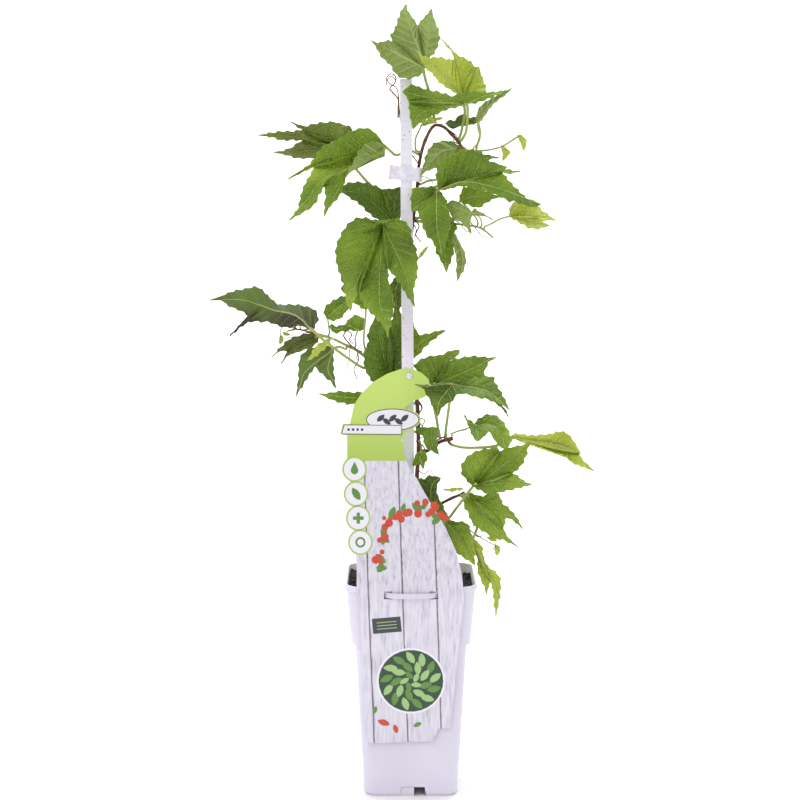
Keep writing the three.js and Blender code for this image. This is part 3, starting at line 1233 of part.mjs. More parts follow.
const LABEL_OUTLINE = [
  [17.5, 383], [16.5, 388.5], [10, 394.5], [2, 398], [-9.5, 398], [-22.5, 393.5], [-36, 385.5],
  [-46, 375.5], [-53, 365], [-57, 347], [-63.5, 347], [-66, 337.5], [-59.5, 336], [-59.5, 312.5],
  [-57.5, 294], [-51.5, 227], [-50.5, 211], [-50.5, 195.5], [-47, 164.5], [-42, 50], [20, 52],
  [25.5, 63.5], [36.5, 64.5], [49.5, 183], [47.5, 206.5], [42, 228.5], [32, 251], [17, 275.5],
  [6, 295], [-4, 311.5], [-8.5, 332], [-6, 336], [-4, 343.5], [-6, 362], [-2, 365.5], [3.5, 369],
  [11, 371], [14, 373], [14, 376],
];
const LABEL_DISCS = [[-52.5, 305, 11.6], [-51, 282, 11.6], [-49, 259.5, 11.6], [-47, 237, 11.6]];
const LABEL_OVAL = { middle: [-17, 351], wide: 26, high: 11 };
const WINDOW_INNER = 17;
const WINDOW_OUTER = 24.6;
const WINDOW_LOW = 189.4;
const WINDOW_HIGH = 197;

function makeLabel() {
  const half = LABEL_THICKNESS / 2;
  const front = [];
  const back = [];
  LABEL_FALL.forEach(([forward, height], i) => {
    const before = LABEL_FALL[Math.max(0, i - 1)];
    const after = LABEL_FALL[Math.min(LABEL_FALL.length - 1, i + 1)];
    const fall = new THREE.Vector2(after[0] - before[0], after[1] - before[1]).normalize();
    front.push(new THREE.Vector2(forward - fall.y * half, height + fall.x * half));
    back.unshift(new THREE.Vector2(forward + fall.y * half, height - fall.x * half));
  });
  const reach = 100;
  const sheet = extrude(new THREE.Shape([...front, ...back]), 2 * reach).translate(0, 0, -reach);
  sheet.rotateX(Math.PI / 2).rotateZ(-Math.PI / 2);

  const prism = (shape) => toSolid(extrude(shape, reach, 5).rotateX(Math.PI / 2));
  let outline = prism(new THREE.Shape(LABEL_OUTLINE.map(([across, up]) => onLabel(across, up))));
  for (const [across, up, radius] of LABEL_DISCS) {
    const middle = onLabel(across, up);
    const disc = new THREE.Shape();
    disc.absarc(middle.x, middle.y, radius, 0, 2 * Math.PI);
    outline = outline.add(prism(disc));
  }
  const oval = new THREE.Shape();
  const ovalMiddle = onLabel(...LABEL_OVAL.middle);
  oval.absellipse(ovalMiddle.x, ovalMiddle.y, LABEL_OVAL.wide, LABEL_OVAL.high, 0, 2 * Math.PI);
  outline = outline.add(prism(oval));

  for (const side of [-1, 1]) {
    const edges = [side * WINDOW_INNER, side * WINDOW_OUTER].sort((a, b) => a - b);
    const [left, right] = edges;
    outline = outline.subtract(prism(roundedBox(left, right, WINDOW_LOW, WINDOW_HIGH, 0.6)));
  }
  return toSolid(sheet).intersect(outline).subtract(toSolid(bored(RIVET_HOLE_RADIUS, -12, 0)));
}

// A push rivet: a round head, a shaft through label and stake, and a flared end behind the web.
function makeRivet() {
  const labelFace = -labelTop - LABEL_THICKNESS / 2 - SEAT_GAP;
  const webBack = STAKE_FRONT + STAKE_WALL + SEAT_GAP;
  const flare = RIVET_SHAFT_RADIUS + 0.5;
  const turned = [
    [0, labelFace - RIVET_HEAD_HEIGHT], [RIVET_HEAD_RADIUS * 0.6, labelFace - RIVET_HEAD_HEIGHT],
    [RIVET_HEAD_RADIUS, labelFace - RIVET_HEAD_HEIGHT * 0.45], [RIVET_HEAD_RADIUS, labelFace],
    [RIVET_SHAFT_RADIUS, labelFace], [RIVET_SHAFT_RADIUS, webBack], [flare, webBack + 0.2],
    [RIVET_SHAFT_RADIUS * 0.7, webBack + 2], [0, webBack + 2],
  ];
  const profile = turned.map(([radius, along]) => new THREE.Vector2(radius, along));
  return new THREE.LatheGeometry(profile, 12).translate(RIVET_X, 0, RIVET_Z);
}

// The soil fills the pot to a finger's width below the rim, with an uneven top.
function makeSoil() {
  const clearance = POT_WALL + SEAT_GAP + 0.1;
  const stepFoot = COLLAR_FOOT - COLLAR_STEP;
  const floor = BASE_UNDERSIDE + BASE_THICKNESS + SEAT_GAP;
  const side = (height) => [wallHalf(height) - clearance, height];
  const edge = wallHalf(SOIL_TOP) - clearance;
  const rings = [0.97, 0.8, 0.6, 0.4, 0.2, 0].map((share) => [edge * share, SOIL_TOP]);
  const clods = (x, y, height) => {
    if (height < SOIL_TOP) return 0;
    return SOIL_BUMP * (Math.sin(0.31 * x + 1) * Math.cos(0.27 * y) + Math.sin(0.5 * x - 0.6 * y));
  };
  const levels = [[0, floor], side(floor), side(stepFoot), side(COLLAR_FOOT), side(SOIL_TOP - 1)];
  return toSolid(squareTurned([...levels, ...rings], clods));
}

const stem = makeStem();
const soilHoles = [toSolid(channel(STAKE_SOCKET_GAP))];
const stemFoot = STEMS.main.route.slice(0, 3).map(drawn);
const stemHoleRadius = STEMS.main.radii[0] + 2 * SEAT_GAP;
stemFoot[0].z -= 2 * SEAT_GAP;
soilHoles.push(toSolid(tube(stemFoot, stemHoleRadius, stemHoleRadius, 10, 12)));

let soil = makeSoil();
for (const hole of soilHoles) soil = soil.subtract(hole);

place('pot', toGeometry(makePot()), MATERIALS.potPlastic);
place('soil', toGeometry(soil), MATERIALS.soil);
place('stake', toGeometry(makeStake()), MATERIALS.stakePlastic);
place('clip', makeClip(), MATERIALS.clipPlastic);
place('label', toGeometry(makeLabel()), MATERIALS.labelCard);
place('label_rivet', welded(makeRivet()), MATERIALS.clipPlastic);
place('stem', toGeometry(stem), MATERIALS.bark);

const YOUNG = ['leaf_top_bright', 'leaf_right_light', 'leaf_left_lime', 'leaf_right_long'];
for (const [name, leaf] of Object.entries(LEAVES)) {
  const material = YOUNG.includes(name) ? MATERIALS.youngLeaf : MATERIALS.leaf;
  place(name, toGeometry(makeLeaf(leaf)), material);
}

export default plant;
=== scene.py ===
import math
import random
from bisect import bisect_right

import bmesh
import bpy
from mathutils import Matrix, Vector, noise


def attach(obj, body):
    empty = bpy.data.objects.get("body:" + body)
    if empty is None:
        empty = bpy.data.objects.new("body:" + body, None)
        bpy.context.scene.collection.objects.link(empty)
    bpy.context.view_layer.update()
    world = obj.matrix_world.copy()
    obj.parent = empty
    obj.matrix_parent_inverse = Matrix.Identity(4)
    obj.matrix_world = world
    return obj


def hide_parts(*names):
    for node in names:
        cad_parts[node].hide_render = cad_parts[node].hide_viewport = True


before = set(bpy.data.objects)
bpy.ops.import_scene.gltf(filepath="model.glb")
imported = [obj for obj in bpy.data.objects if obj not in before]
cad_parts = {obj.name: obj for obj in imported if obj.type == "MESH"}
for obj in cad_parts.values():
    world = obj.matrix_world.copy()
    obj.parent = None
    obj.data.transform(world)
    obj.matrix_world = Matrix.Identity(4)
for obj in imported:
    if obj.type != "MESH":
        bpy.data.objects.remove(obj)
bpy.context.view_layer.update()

# The pot: a tall square pot with round corners, injection moulded in thin white polypropylene.
# Its wall steps out to a deeper collar, and each side has a drain slot and a tab at the foot.
POT_HEIGHT = 200
POT_WALL = 1.2
POT_RIM_HALF = 60.5
POT_CORNER_RADIUS = 17
COLLAR_FOOT = 144.2
COLLAR_STEP = 1.2
COLLAR_FOOT_HALF = 54.8
BODY_TOP_HALF = 51.4
BODY_FOOT_HALF = 43.2
BODY_FOOT = 2.4
FOOT_INSET = 1.6
BASE_UNDERSIDE = 10
BASE_THICKNESS = 1.6
SLOT_LEFT = 2.9
SLOT_RIGHT = 12.7
SLOT_TOP = 8.8
TAB_LEFT = -10
TAB_SUNK = 0.5
SLOT_SUNK = 8
GROOVE_SUNK = 0.95
ARC_POINTS = 14
RING_POINTS = 4 * ARC_POINTS


def on_circle(degrees, radius, middle=(0, 0)):
    """The point of a circle at an angle, counter-clockwise from its right."""
    turn = math.radians(degrees)
    return middle[0] + radius * math.cos(turn), middle[1] + radius * math.sin(turn)


def squared(half, station):
    """A point of a square ring with round corners, by its number round the ring."""
    radius = POT_CORNER_RADIUS * half / POT_RIM_HALF
    corner, step = divmod(station, ARC_POINTS)
    middle = on_circle(90 * (corner + 0.5), math.sqrt(2) * (half - radius))
    return on_circle(90 * (corner + step / (ARC_POINTS - 1)), radius, middle)


def verts_of(pulled):
    """The points among what an operator pulls out of a mesh."""
    return [item for item in pulled["geom"] if isinstance(item, bmesh.types.BMVert)]


def squared_body(levels):
    """A closed body of square rings, each [half width, height], pulled out level by level."""
    bm = bmesh.new()
    station = bm.verts.layers.int.new("station")
    ring = bmesh.ops.create_circle(bm, segments=RING_POINTS, radius=1)["verts"]
    for number, vert in enumerate(ring):
        vert[station] = number
    for number, (half, height) in enumerate(levels):
        if number:
            # A dictionary keeps its keys in order, so the edges come the same way in each run.
            edges = dict.fromkeys(edge for vert in ring for edge in vert.link_edges)
            edges = [edge for edge in edges if all(vert in ring for vert in edge.verts)]
            ring = verts_of(bmesh.ops.extrude_edge_only(bm, edges=edges))
        for vert in ring:
            x, y = squared(half, vert[station])
            vert.co = (x, y, height)
    bmesh.ops.remove_doubles(bm, verts=bm.verts, dist=1e-3)
    bmesh.ops.recalc_face_normals(bm, faces=bm.faces)
    return bm


def wall_half(height):
    """The half width of the pot's outside at a height, without the rim's bead."""
    foot = COLLAR_FOOT - COLLAR_STEP
    if height >= COLLAR_FOOT:
        share = (height - COLLAR_FOOT) / (POT_HEIGHT - COLLAR_FOOT)
        return COLLAR_FOOT_HALF + share * (POT_RIM_HALF - 1 - COLLAR_FOOT_HALF)
    if height >= foot:
        return BODY_TOP_HALF + (height - foot) / COLLAR_STEP * (COLLAR_FOOT_HALF - BODY_TOP_HALF)
    share = (height - BODY_FOOT) / (foot - BODY_FOOT)
    return BODY_FOOT_HALF + share * (BODY_TOP_HALF - BODY_FOOT_HALF)


def extruded(outline, height):
    """A closed prism on an outline in the XY plane, from Z 0 up to a height."""
    bm = bmesh.new()
    base = bm.faces.new([bm.verts.new((x, y, 0)) for x, y in outline])
    raised = verts_of(bmesh.ops.extrude_face_region(bm, geom=[base]))
    bmesh.ops.translate(bm, verts=raised, vec=(0, 0, height))
    bmesh.ops.recalc_face_normals(bm, faces=bm.faces)
    return bm


def in_scene(name, data):
    """A new object of the scene."""
    made = bpy.data.objects.new(name, data)
    bpy.context.scene.collection.objects.link(made)
    return made


def as_object(bm, name, *materials, smooth=None):
    """Turns a mesh in millimetres into an object in metres, shaded smooth below an angle."""
    bmesh.ops.scale(bm, vec=(0.001, 0.001, 0.001), verts=bm.verts)
    mesh = bpy.data.meshes.new(name)
    bm.to_mesh(mesh)
    bm.free()
    for material in materials:
        mesh.materials.append(material)
    piece = in_scene(name, mesh)
    if smooth is not None:
        mesh.shade_smooth()
        mesh.set_sharp_from_angle(angle=math.radians(smooth))
    return piece


def settle(piece, smooth=35):
    """Gives a piece the mesh that its modifiers make, and drops them."""
    graph = bpy.context.evaluated_depsgraph_get()
    made = bpy.data.meshes.new_from_object(piece.evaluated_get(graph))
    piece.modifiers.clear()
    piece.data = made
    made.shade_smooth()
    made.set_sharp_from_angle(angle=math.radians(smooth))


def carve(piece, tool, operation="DIFFERENCE"):
    """Cuts a piece with a tool body, or keeps only what lies in the tool."""
    cut = piece.modifiers.new("carve", "BOOLEAN")
    cut.operation = operation
    cut.solver = "MANIFOLD"
    cut.object = tool
    settle(piece)
    bpy.data.objects.remove(tool)


def rounded_edges(piece, width, segments=2):
    """A small moulded round on a piece's sharp edges, its width in millimetres."""
    bevel = piece.modifiers.new("moulded_edges", "BEVEL")
    bevel.width = width / 1000
    bevel.segments = segments
    bevel.limit_method = "ANGLE"
    bevel.angle_limit = math.radians(38)
    bevel.use_clamp_overlap = True
    bevel.harden_normals = False


def stands_for(piece, node):
    """A piece rides on the plant's one body, and takes the place of a node, whose part is hidden."""
    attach(piece, "root")
    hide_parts(node)
    return piece


def linear(code, alpha=1.0):
    """A colour written as sRGB hex, as the linear values that the shaders take."""
    channels = [int(code[i : i + 2], 16) / 255 for i in (1, 3, 5)]
    return [c / 12.92 if c <= 0.04045 else ((c + 0.055) / 1.055) ** 2.4 for c in channels] + [alpha]


def output_of(source):
    """The output that a node gives first, or an output as it is."""
    if isinstance(source, bpy.types.Node):
        return next(output for output in source.outputs if output.enabled)
    return source


def add_node(tree, kind, inputs=None, stops=None, **settings):
    """Adds a node with its settings. An input is a value, or another node or output to link."""
    made = tree.nodes.new("ShaderNode" + kind)
    for name, value in settings.items():
        setattr(made, name, value)
    for name, value in (inputs or {}).items():
        if isinstance(value, (bpy.types.Node, bpy.types.NodeSocket)):
            tree.links.new(output_of(value), made.inputs[name])
        else:
            made.inputs[name].default_value = value
    if stops:
        elements = made.color_ramp.elements
        while len(elements) < len(stops):
            elements.new(0.5)
        for element, (place, code) in zip(elements, stops):
            element.position = place
            element.color = linear(code)
    return made


def start_material(name, **values):
    """A material on one Principled shader, with the values that are the same all over.

    It comes with its node tree, its shader and the place of a point on the piece.
    """
    material = bpy.data.materials.new(name)
    material.use_nodes = True
    shader = material.node_tree.nodes["Principled BSDF"]
    for socket, value in values.items():
        shader.inputs[socket.replace("_", " ")].default_value = value
    place = add_node(material.node_tree, "TexCoord").outputs["Object"]
    return material, material.node_tree, shader, place


def feed(shader, **sources):
    """Links nodes to sockets of a shader."""
    for socket, source in sources.items():
        shader.id_data.links.new(output_of(source), shader.inputs[socket.replace("_", " ")])


# Injection-moulded polypropylene: a soft satin white with a breath of lilac. Fine moulding grain
# of about 0.4 mm breaks up its gloss; slow lighter and darker patches in its colour are painted
# reflections.
pot_plastic, tree, shader, place = start_material("satin_white_polypropylene", Roughness=0.38, IOR=1.49)
swell = add_node(tree, "TexNoise", {"Vector": place, "Scale": 14, "Detail": 2})
grain = add_node(tree, "TexNoise", {"Vector": place, "Scale": 2500, "Detail": 1})
# The slow noise shifts the colour between two whites: painted reflection of the thin wall's swells, not a
# change in the plastic.
tint = add_node(tree, "ValToRGB", {"Fac": swell}, stops=[(0.3, "#d3cfde"), (0.7, "#dddae7")])
sheen = add_node(tree, "MapRange", {"Value": grain, "To Min": 0.33, "To Max": 0.45})
skin = add_node(tree, "Bump", {"Height": grain, "Strength": 0.08, "Distance": 0.0002})
feed(shader, Base_Color=tint, Roughness=sheen, Normal=skin)

step_foot = COLLAR_FOOT - COLLAR_STEP
floor_top = BASE_UNDERSIDE + BASE_THICKNESS
foot_half = BODY_FOOT_HALF - FOOT_INSET
inside = [(wall_half(z) - POT_WALL, z) for z in (POT_HEIGHT - 6, COLLAR_FOOT, step_foot, floor_top)]
pot = as_object(squared_body([
    (0, BASE_UNDERSIDE), (foot_half - POT_WALL, BASE_UNDERSIDE), (foot_half - POT_WALL, 0),
    (foot_half, 0), (foot_half, BODY_FOOT), (BODY_FOOT_HALF, BODY_FOOT),
    (BODY_TOP_HALF, step_foot), (COLLAR_FOOT_HALF, COLLAR_FOOT),
    (wall_half(POT_HEIGHT - 6), POT_HEIGHT - 6), (POT_RIM_HALF - 0.3, POT_HEIGHT - 5),
    (POT_RIM_HALF, POT_HEIGHT - 4), (POT_RIM_HALF, POT_HEIGHT - 1.2),
    (POT_RIM_HALF - 0.8, POT_HEIGHT), (POT_RIM_HALF - 2, POT_HEIGHT), *inside, (0, floor_top),
]), "white_pot", pot_plastic)
slot_outline = [(SLOT_LEFT, SLOT_TOP), (SLOT_LEFT, -1), (SLOT_RIGHT + 2, -1), (SLOT_RIGHT, SLOT_TOP)]
tab_outline = [(TAB_LEFT + 1.6, SLOT_TOP - 0.1), (TAB_LEFT, -1.2), (SLOT_LEFT + 0.5, -1.2),
               (SLOT_LEFT + 0.5, SLOT_TOP - 0.1)]
CUTTER_DEPTH = 12
GROOVE = 0.45
groove_outline = [(TAB_LEFT - GROOVE, -1.5), (TAB_LEFT + 0.2, -1.5),
                  (TAB_LEFT + 1.8, SLOT_TOP - 0.2), (SLOT_LEFT + 0.3, SLOT_TOP - 0.2),
                  (SLOT_LEFT + 0.3, SLOT_TOP + GROOVE), (TAB_LEFT + 1.6 - GROOVE, SLOT_TOP + GROOVE)]
for side in range(4):
    for outline, sunk in ((slot_outline, SLOT_SUNK), (tab_outline, TAB_SUNK),
                          (groove_outline, GROOVE_SUNK)):
        cutter = extruded(outline, CUTTER_DEPTH)
        stand = Matrix.Rotation(math.radians(90), 4, "X")
        face = Matrix.Translation((0, sunk - BODY_FOOT_HALF, 0))
        turn = Matrix.Rotation(math.radians(90 * side), 4, "Z")
        bmesh.ops.transform(cutter, matrix=turn @ face @ stand, verts=cutter.verts)
        carve(pot, as_object(cutter, "cutter"))
rounded_edges(pot, 0.35)

# Peat dust clings to the inside of the wall, in beige smears of about 8 mm that thicken towards
# the soil.
stained, tree, shader, place = start_material("peat_stained_polypropylene", Roughness=0.6, IOR=1.49)
height = add_node(tree, "SeparateXYZ", {"Vector": place}).outputs["Z"]
low = add_node(tree, "MapRange",
               {"Value": height, "From Min": 0.186, "From Max": 0.199, "To Min": 0.55, "To Max": 0.05})
smear = add_node(tree, "TexNoise", {"Vector": place, "Scale": 130, "Detail": 5})
thick = add_node(tree, "Math", {0: low, 1: smear})
tint = add_node(tree, "ValToRGB", {"Fac": thick},
                stops=[(0.5, "#cbc5bd"), (0.8, "#a89e89"), (1.0, "#4a3e31")])
feed(shader, Base_Color=tint)
pot.data.materials.append(stained)
for face in pot.data.polygons:
    outward = Vector((face.center.x, face.center.y, 0)).dot(face.normal)
    face.material_index = int(outward < -0.02 and face.center.z > 0.02)
stands_for(pot, "pot")

# The strap: a thin moulded band that bows out of the collar's front, rooted in it at both ends.
# The label hangs behind it, and its two ends pass through windows in the label.
STRAP_HALF_SPAN = 25
STRAP_BOW = 66.2
STRAP_THICKNESS = 1.4
STRAP_LOW = 190.4
STRAP_HEIGHT = 4.8
collar_front = wall_half(STRAP_LOW) - POT_WALL / 2
strap_shares = [step / 20 - 1 for step in range(41)]
strap_outer = [(share * STRAP_HALF_SPAN, -collar_front - (STRAP_BOW - collar_front) * (1 - share**4))
               for share in strap_shares]
strap_inner = [(share * (STRAP_HALF_SPAN - STRAP_THICKNESS), -collar_front
                - (STRAP_BOW - collar_front - STRAP_THICKNESS) * (1 - share**4))
               for share in reversed(strap_shares)]
strap = extruded(strap_outer + strap_inner, STRAP_HEIGHT)
bmesh.ops.translate(strap, verts=strap.verts, vec=(0, 0, STRAP_LOW))
strap = as_object(strap, "pot_strap", pot_plastic, smooth=35)
rounded_edges(strap, 0.3)
stands_for(strap, "pot")

# The soil: dark peat potting mix, damp and crumbly, filled to a finger's width below the rim.
# Crumbs of peat and bark lie loose on its uneven top.
SOIL_TOP = 187
SOIL_SWELL = 1.1
SOIL_CLEARANCE = POT_WALL + 0.4
SOIL_RINGS = 44
HEAP_LEFT = 20
HEAP_RIGHT = 12
HEAP_REACH = 57
HEAP_FOOT = 0.55
CRUMBS = 420
CRUMB_RADII = (0.7, 0.9, 1.2, 1.7, 2.4)


def soil_height(x, y):
    """The rise and fall of the soil's top, from broad swells down to small clods."""
    # The peat heaps up against the left and right walls, and more against the left one.
    heap = max(0, abs(x) / HEAP_REACH - HEAP_FOOT) * (HEAP_LEFT if x < 0 else HEAP_RIGHT)
    swell = math.sin(0.31 * x + 1) * math.cos(0.27 * y) + math.sin(0.5 * x - 0.6 * y)
    clods = noise.fractal(Vector((x / 7, y / 7, 3)), 0.8, 2.1, 4)
    return heap + SOIL_SWELL * (0.8 * swell + 0.9 * clods)


soil_floor = floor_top + 0.3
soil_sides = [(0, soil_floor)]
soil_sides += [(wall_half(z) - SOIL_CLEARANCE, z) for z in (soil_floor, step_foot, COLLAR_FOOT)]
soil_edge = wall_half(SOIL_TOP) - SOIL_CLEARANCE
soil_sides += [(soil_edge, SOIL_TOP - 3), (soil_edge, SOIL_TOP)]
soil_sides += [(soil_edge * (1 - ring / SOIL_RINGS), SOIL_TOP) for ring in range(1, SOIL_RINGS + 1)]
soil_bm = squared_body(soil_sides)
for vert in soil_bm.verts:
    if vert.co.z > SOIL_TOP - 1:
        vert.co.z += soil_height(vert.co.x, vert.co.y)

# Damp peat: nearly black and a little browner and drier in blotches of about 11 mm, with a rough
# surface of broken crumbs of 1 to 2 mm.
peat, tree, shader, place = start_material("damp_peat", Roughness=0.93, IOR=1.4)
crumbs = add_node(tree, "TexVoronoi", {"Vector": place, "Scale": 620})
blotch = add_node(tree, "TexNoise", {"Vector": place, "Scale": 90, "Detail": 6})
tint = add_node(tree, "ValToRGB", {"Fac": blotch},
                stops=[(0.3, "#0b0807"), (0.55, "#15100d"), (0.78, "#2e2119")])
rough = add_node(tree, "Bump", {"Height": crumbs, "Strength": 0.7, "Distance": 0.0008})
feed(shader, Base_Color=tint, Normal=rough)
soil = as_object(soil_bm, "potting_soil", peat, smooth=60)
stands_for(soil, "soil")

draw = random.Random(11)
crumb_bm = bmesh.new()
for _ in range(CRUMBS):
    x, y = (draw.uniform(1.5 - soil_edge, soil_edge - 1.5) for _ in range(2))
    if max(abs(x), abs(y)) > soil_edge - 4 and min(abs(x), abs(y)) > soil_edge - 16:
        continue
    size = draw.choice(CRUMB_RADII)
    made = bmesh.ops.create_icosphere(crumb_bm, subdivisions=1, radius=size)["verts"]
    for vert in made:
        vert.co *= 1 + 0.35 * noise.noise(vert.co * 1.7 + Vector((x, y, 0)))
    stretch = (draw.uniform(0.7, 1.7), draw.uniform(0.7, 1.2), draw.uniform(0.5, 0.8))
    bmesh.ops.scale(crumb_bm, verts=made, vec=stretch)
    tilt = Matrix.Rotation(draw.uniform(-0.5, 0.5), 3, "X") @ Matrix.Rotation(draw.uniform(0, 6), 3, "Z")
    bmesh.ops.rotate(crumb_bm, verts=made, matrix=tilt)
    bmesh.ops.translate(crumb_bm, verts=made, vec=(x, y, SOIL_TOP + soil_height(x, y) + 0.2 * size))
crumb_piece = as_object(crumb_bm, "peat_crumbs", peat, smooth=50)
stands_for(crumb_piece, "soil")

# The stake: a channel of white polypropylene, pushed into the soil with its flat web to the
# front. It leans a little to the left, and a hole near its middle takes the label's rivet.
STAKE_WIDTH = 11
STAKE_DEPTH = 5
STAKE_FRONT = -4
STAKE_WALL = 1.2
STAKE_FOOT = 80
STAKE_TOP = 658
STAKE_FOOT_X = -0.8
STAKE_TOP_X = -4.7
RIVET_X = -1.2
RIVET_Z = 387
RIVET_HOLE_RADIUS = 1.8
RIVET_HOLE_DEPTH = 8
half = STAKE_WIDTH / 2
back = STAKE_FRONT + STAKE_DEPTH
web_back = STAKE_FRONT + STAKE_WALL
stake_bm = extruded([(-half, STAKE_FRONT), (half, STAKE_FRONT), (half, back), (half - STAKE_WALL, back),
                     (half - STAKE_WALL, web_back), (STAKE_WALL - half, web_back),
                     (STAKE_WALL - half, back), (-half, back)], STAKE_TOP - STAKE_FOOT)
stake_lean = math.atan2(STAKE_FOOT_X - STAKE_TOP_X, STAKE_TOP - STAKE_FOOT)
lean = Matrix.Translation((STAKE_FOOT_X, 0, STAKE_FOOT)) @ Matrix.Rotation(-stake_lean, 4, "Y")
bmesh.ops.transform(stake_bm, matrix=lean, verts=stake_bm.verts)

# Extruded polypropylene, cut to length: paler and glossier than the pot. Faint die lines cross
# it every few millimetres, and specks of peat of about 1 mm cling to it.
stake_plastic, tree, shader, place = start_material("glossy_white_polypropylene", Roughness=0.3, IOR=1.49)
along = add_node(tree, "Mapping", {"Vector": place, "Scale": (0.05, 0.05, 1)})
lines = add_node(tree, "TexNoise", {"Vector": along, "Scale": 320, "Detail": 3})
specks = add_node(tree, "TexVoronoi", {"Vector": place, "Scale": 190, "Randomness": 1})
tint = add_node(tree, "ValToRGB", {"Fac": lines}, stops=[(0.3, "#e4e1ec"), (0.7, "#edebf3")])
spot = add_node(tree, "MapRange",
                {"Value": specks, "From Min": 0.08, "From Max": 0.14, "To Min": 0.8, "To Max": 0})
mixed = add_node(tree, "Mix", {"Factor": spot, "A": tint, "B": linear("#6b6058")}, data_type="RGBA")
ridge = add_node(tree, "Bump", {"Height": lines, "Strength": 0.05, "Distance": 0.0002})
feed(shader, Base_Color=mixed, Normal=ridge)
stake = as_object(stake_bm, "white_stake", stake_plastic)
hole = bmesh.new()
bmesh.ops.create_cone(hole, cap_ends=True, segments=24, radius1=RIVET_HOLE_RADIUS,
                      radius2=RIVET_HOLE_RADIUS, depth=RIVET_HOLE_DEPTH)
across = Matrix.Translation((RIVET_X, STAKE_FRONT, RIVET_Z)) @ Matrix.Rotation(math.radians(90), 4, "X")
bmesh.ops.transform(hole, matrix=across, verts=hole.verts)
carve(stake, as_object(hole, "cutter"))
rounded_edges(stake, 0.3)
stands_for(stake, "stake")

# The clip: a stiff band of clear-tinted plastic that closes round the stake and the stem. It
# hangs a little askew.
CLIP_HEIGHT = 572
CLIP_BAND = 13
CLIP_WALL = 0.9
CLIP_LEFT = -19.2
CLIP_RIGHT = 9.8
CLIP_FRONT = -4.3
CLIP_BACK = 9.6
CLIP_CORNER_RADIUS = 4
CLIP_TILT = math.radians(5.5)


def rounded_outline(left, right, low, high, radius, steps=8):
    """A rectangle with round corners, counter-clockwise."""
    corners = [(right - radius, low + radius, -90), (right - radius, high - radius, 0),
               (left + radius, high - radius, 90), (left + radius, low + radius, 180)]
    return [on_circle(start + 90 * step / steps, radius, (x, y))
            for x, y, start in corners for step in range(steps + 1)]


def mottled(name, scale, detail, stops, **values):
    """A finish that drifts between a few colours in soft patches."""
    material, tree, shader, place = start_material(name, **values)
    patches = add_node(tree, "TexNoise", {"Vector": place, "Scale": scale, "Detail": detail})
    feed(shader, Base_Color=add_node(tree, "ValToRGB", {"Fac": patches}, stops=stops))
    return material


# Clear polypropylene with a little lilac: light goes some way in, so it looks milky, with clouds
# of about 5 mm.
clip_plastic = mottled("milky_polypropylene", 180, 3, [(0.35, "#dcd8e8"), (0.65, "#efedf5")],
                       Roughness=0.22, IOR=1.49, Subsurface_Weight=0.25, Subsurface_Scale=0.003)
clip_bm = extruded(rounded_outline(CLIP_LEFT - CLIP_WALL, CLIP_RIGHT + CLIP_WALL,
                                   CLIP_FRONT - CLIP_WALL, CLIP_BACK + CLIP_WALL,
                                   CLIP_CORNER_RADIUS + CLIP_WALL), CLIP_BAND)
clip_hole = extruded(rounded_outline(CLIP_LEFT, CLIP_RIGHT, CLIP_FRONT, CLIP_BACK,
                                     CLIP_CORNER_RADIUS), CLIP_BAND + 2)
hang = (Matrix.Translation((0, 0, CLIP_HEIGHT)) @ Matrix.Rotation(CLIP_TILT, 4, "Y")
        @ Matrix.Translation((0, 0, -CLIP_BAND / 2)))
bmesh.ops.transform(clip_bm, matrix=hang, verts=clip_bm.verts)
bmesh.ops.transform(clip_hole, matrix=hang @ Matrix.Translation((0, 0, -1)), verts=clip_hole.verts)
clip = as_object(clip_bm, "stem_clip", clip_plastic)
carve(clip, as_object(clip_hole, "cutter"))
rounded_edges(clip, 0.25)
stands_for(clip, "clip")

# The label: a die-cut sheet of thin white board, printed and laminated. A rivet holds its top to
# the stake, and it bends forward over the rim and hangs down the pot's front, behind the strap.
# Its fall is given as [forward, height], and its outline and signs in the front elevation.
LABEL_THICKNESS = 0.8
SEAT_GAP = 0.3
LABEL_TOP_FORWARD = -STAKE_FRONT + SEAT_GAP + LABEL_THICKNESS / 2
LABEL_FALL = [(LABEL_TOP_FORWARD, 402), (LABEL_TOP_FORWARD, 382), (6.6, 372), (10, 360), (35, 285),
              (56, 222), (60.8, 205), (61.9, 196), (61.2, 186), (48.4, 50)]
SHEET_STEPS = 90
CUT_DEPTH = 100
LABEL_OUTLINE = [(17.5, 383), (16.5, 388.5), (10, 394.5), (2, 398), (-9.5, 398), (-22.5, 393.5),
                 (-36, 385.5), (-46, 375.5), (-53, 365), (-57, 347), (-63.5, 347), (-66, 337.5),
                 (-59.5, 336), (-59.5, 312.5), (-57.5, 294), (-51.5, 227), (-50.5, 211), (-50.5, 195.5),
                 (-47, 164.5), (-42, 50), (20, 52), (25.5, 63.5), (36.5, 64.5), (49.5, 183),
                 (47.5, 206.5), (42, 228.5), (32, 251), (17, 275.5), (6, 295), (-4, 311.5), (-8.5, 332),
                 (-6, 336), (-4, 343.5), (-6, 362), (-2, 365.5), (3.5, 369), (11, 371), (14, 373),
                 (14, 376)]
LABEL_DISCS = [(-52.5, 305), (-51, 282), (-49, 259.5), (-47, 237)]
LABEL_DISC_RADIUS = 11.6
LABEL_OVAL = (-17, 351)
LABEL_OVAL_WIDE = 26
LABEL_OVAL_HIGH = 11
WINDOW_INNER = 17
WINDOW_OUTER = 24.6
WINDOW_LOW = 189.4
WINDOW_HIGH = 197

# Shapes are drawn in the front elevation as [across, up, forward], as an eye two metres in
# front of the pot sees them. Its lines of sight carry each point to its real place.
EYE = Vector((-10, -2000, 600))
SIGHT_TILT = math.radians(6.73)
SIGHT_ACROSS = -10.2
SIGHT_UP = 369.2
DRAWING_DISTANCE = 2024.6


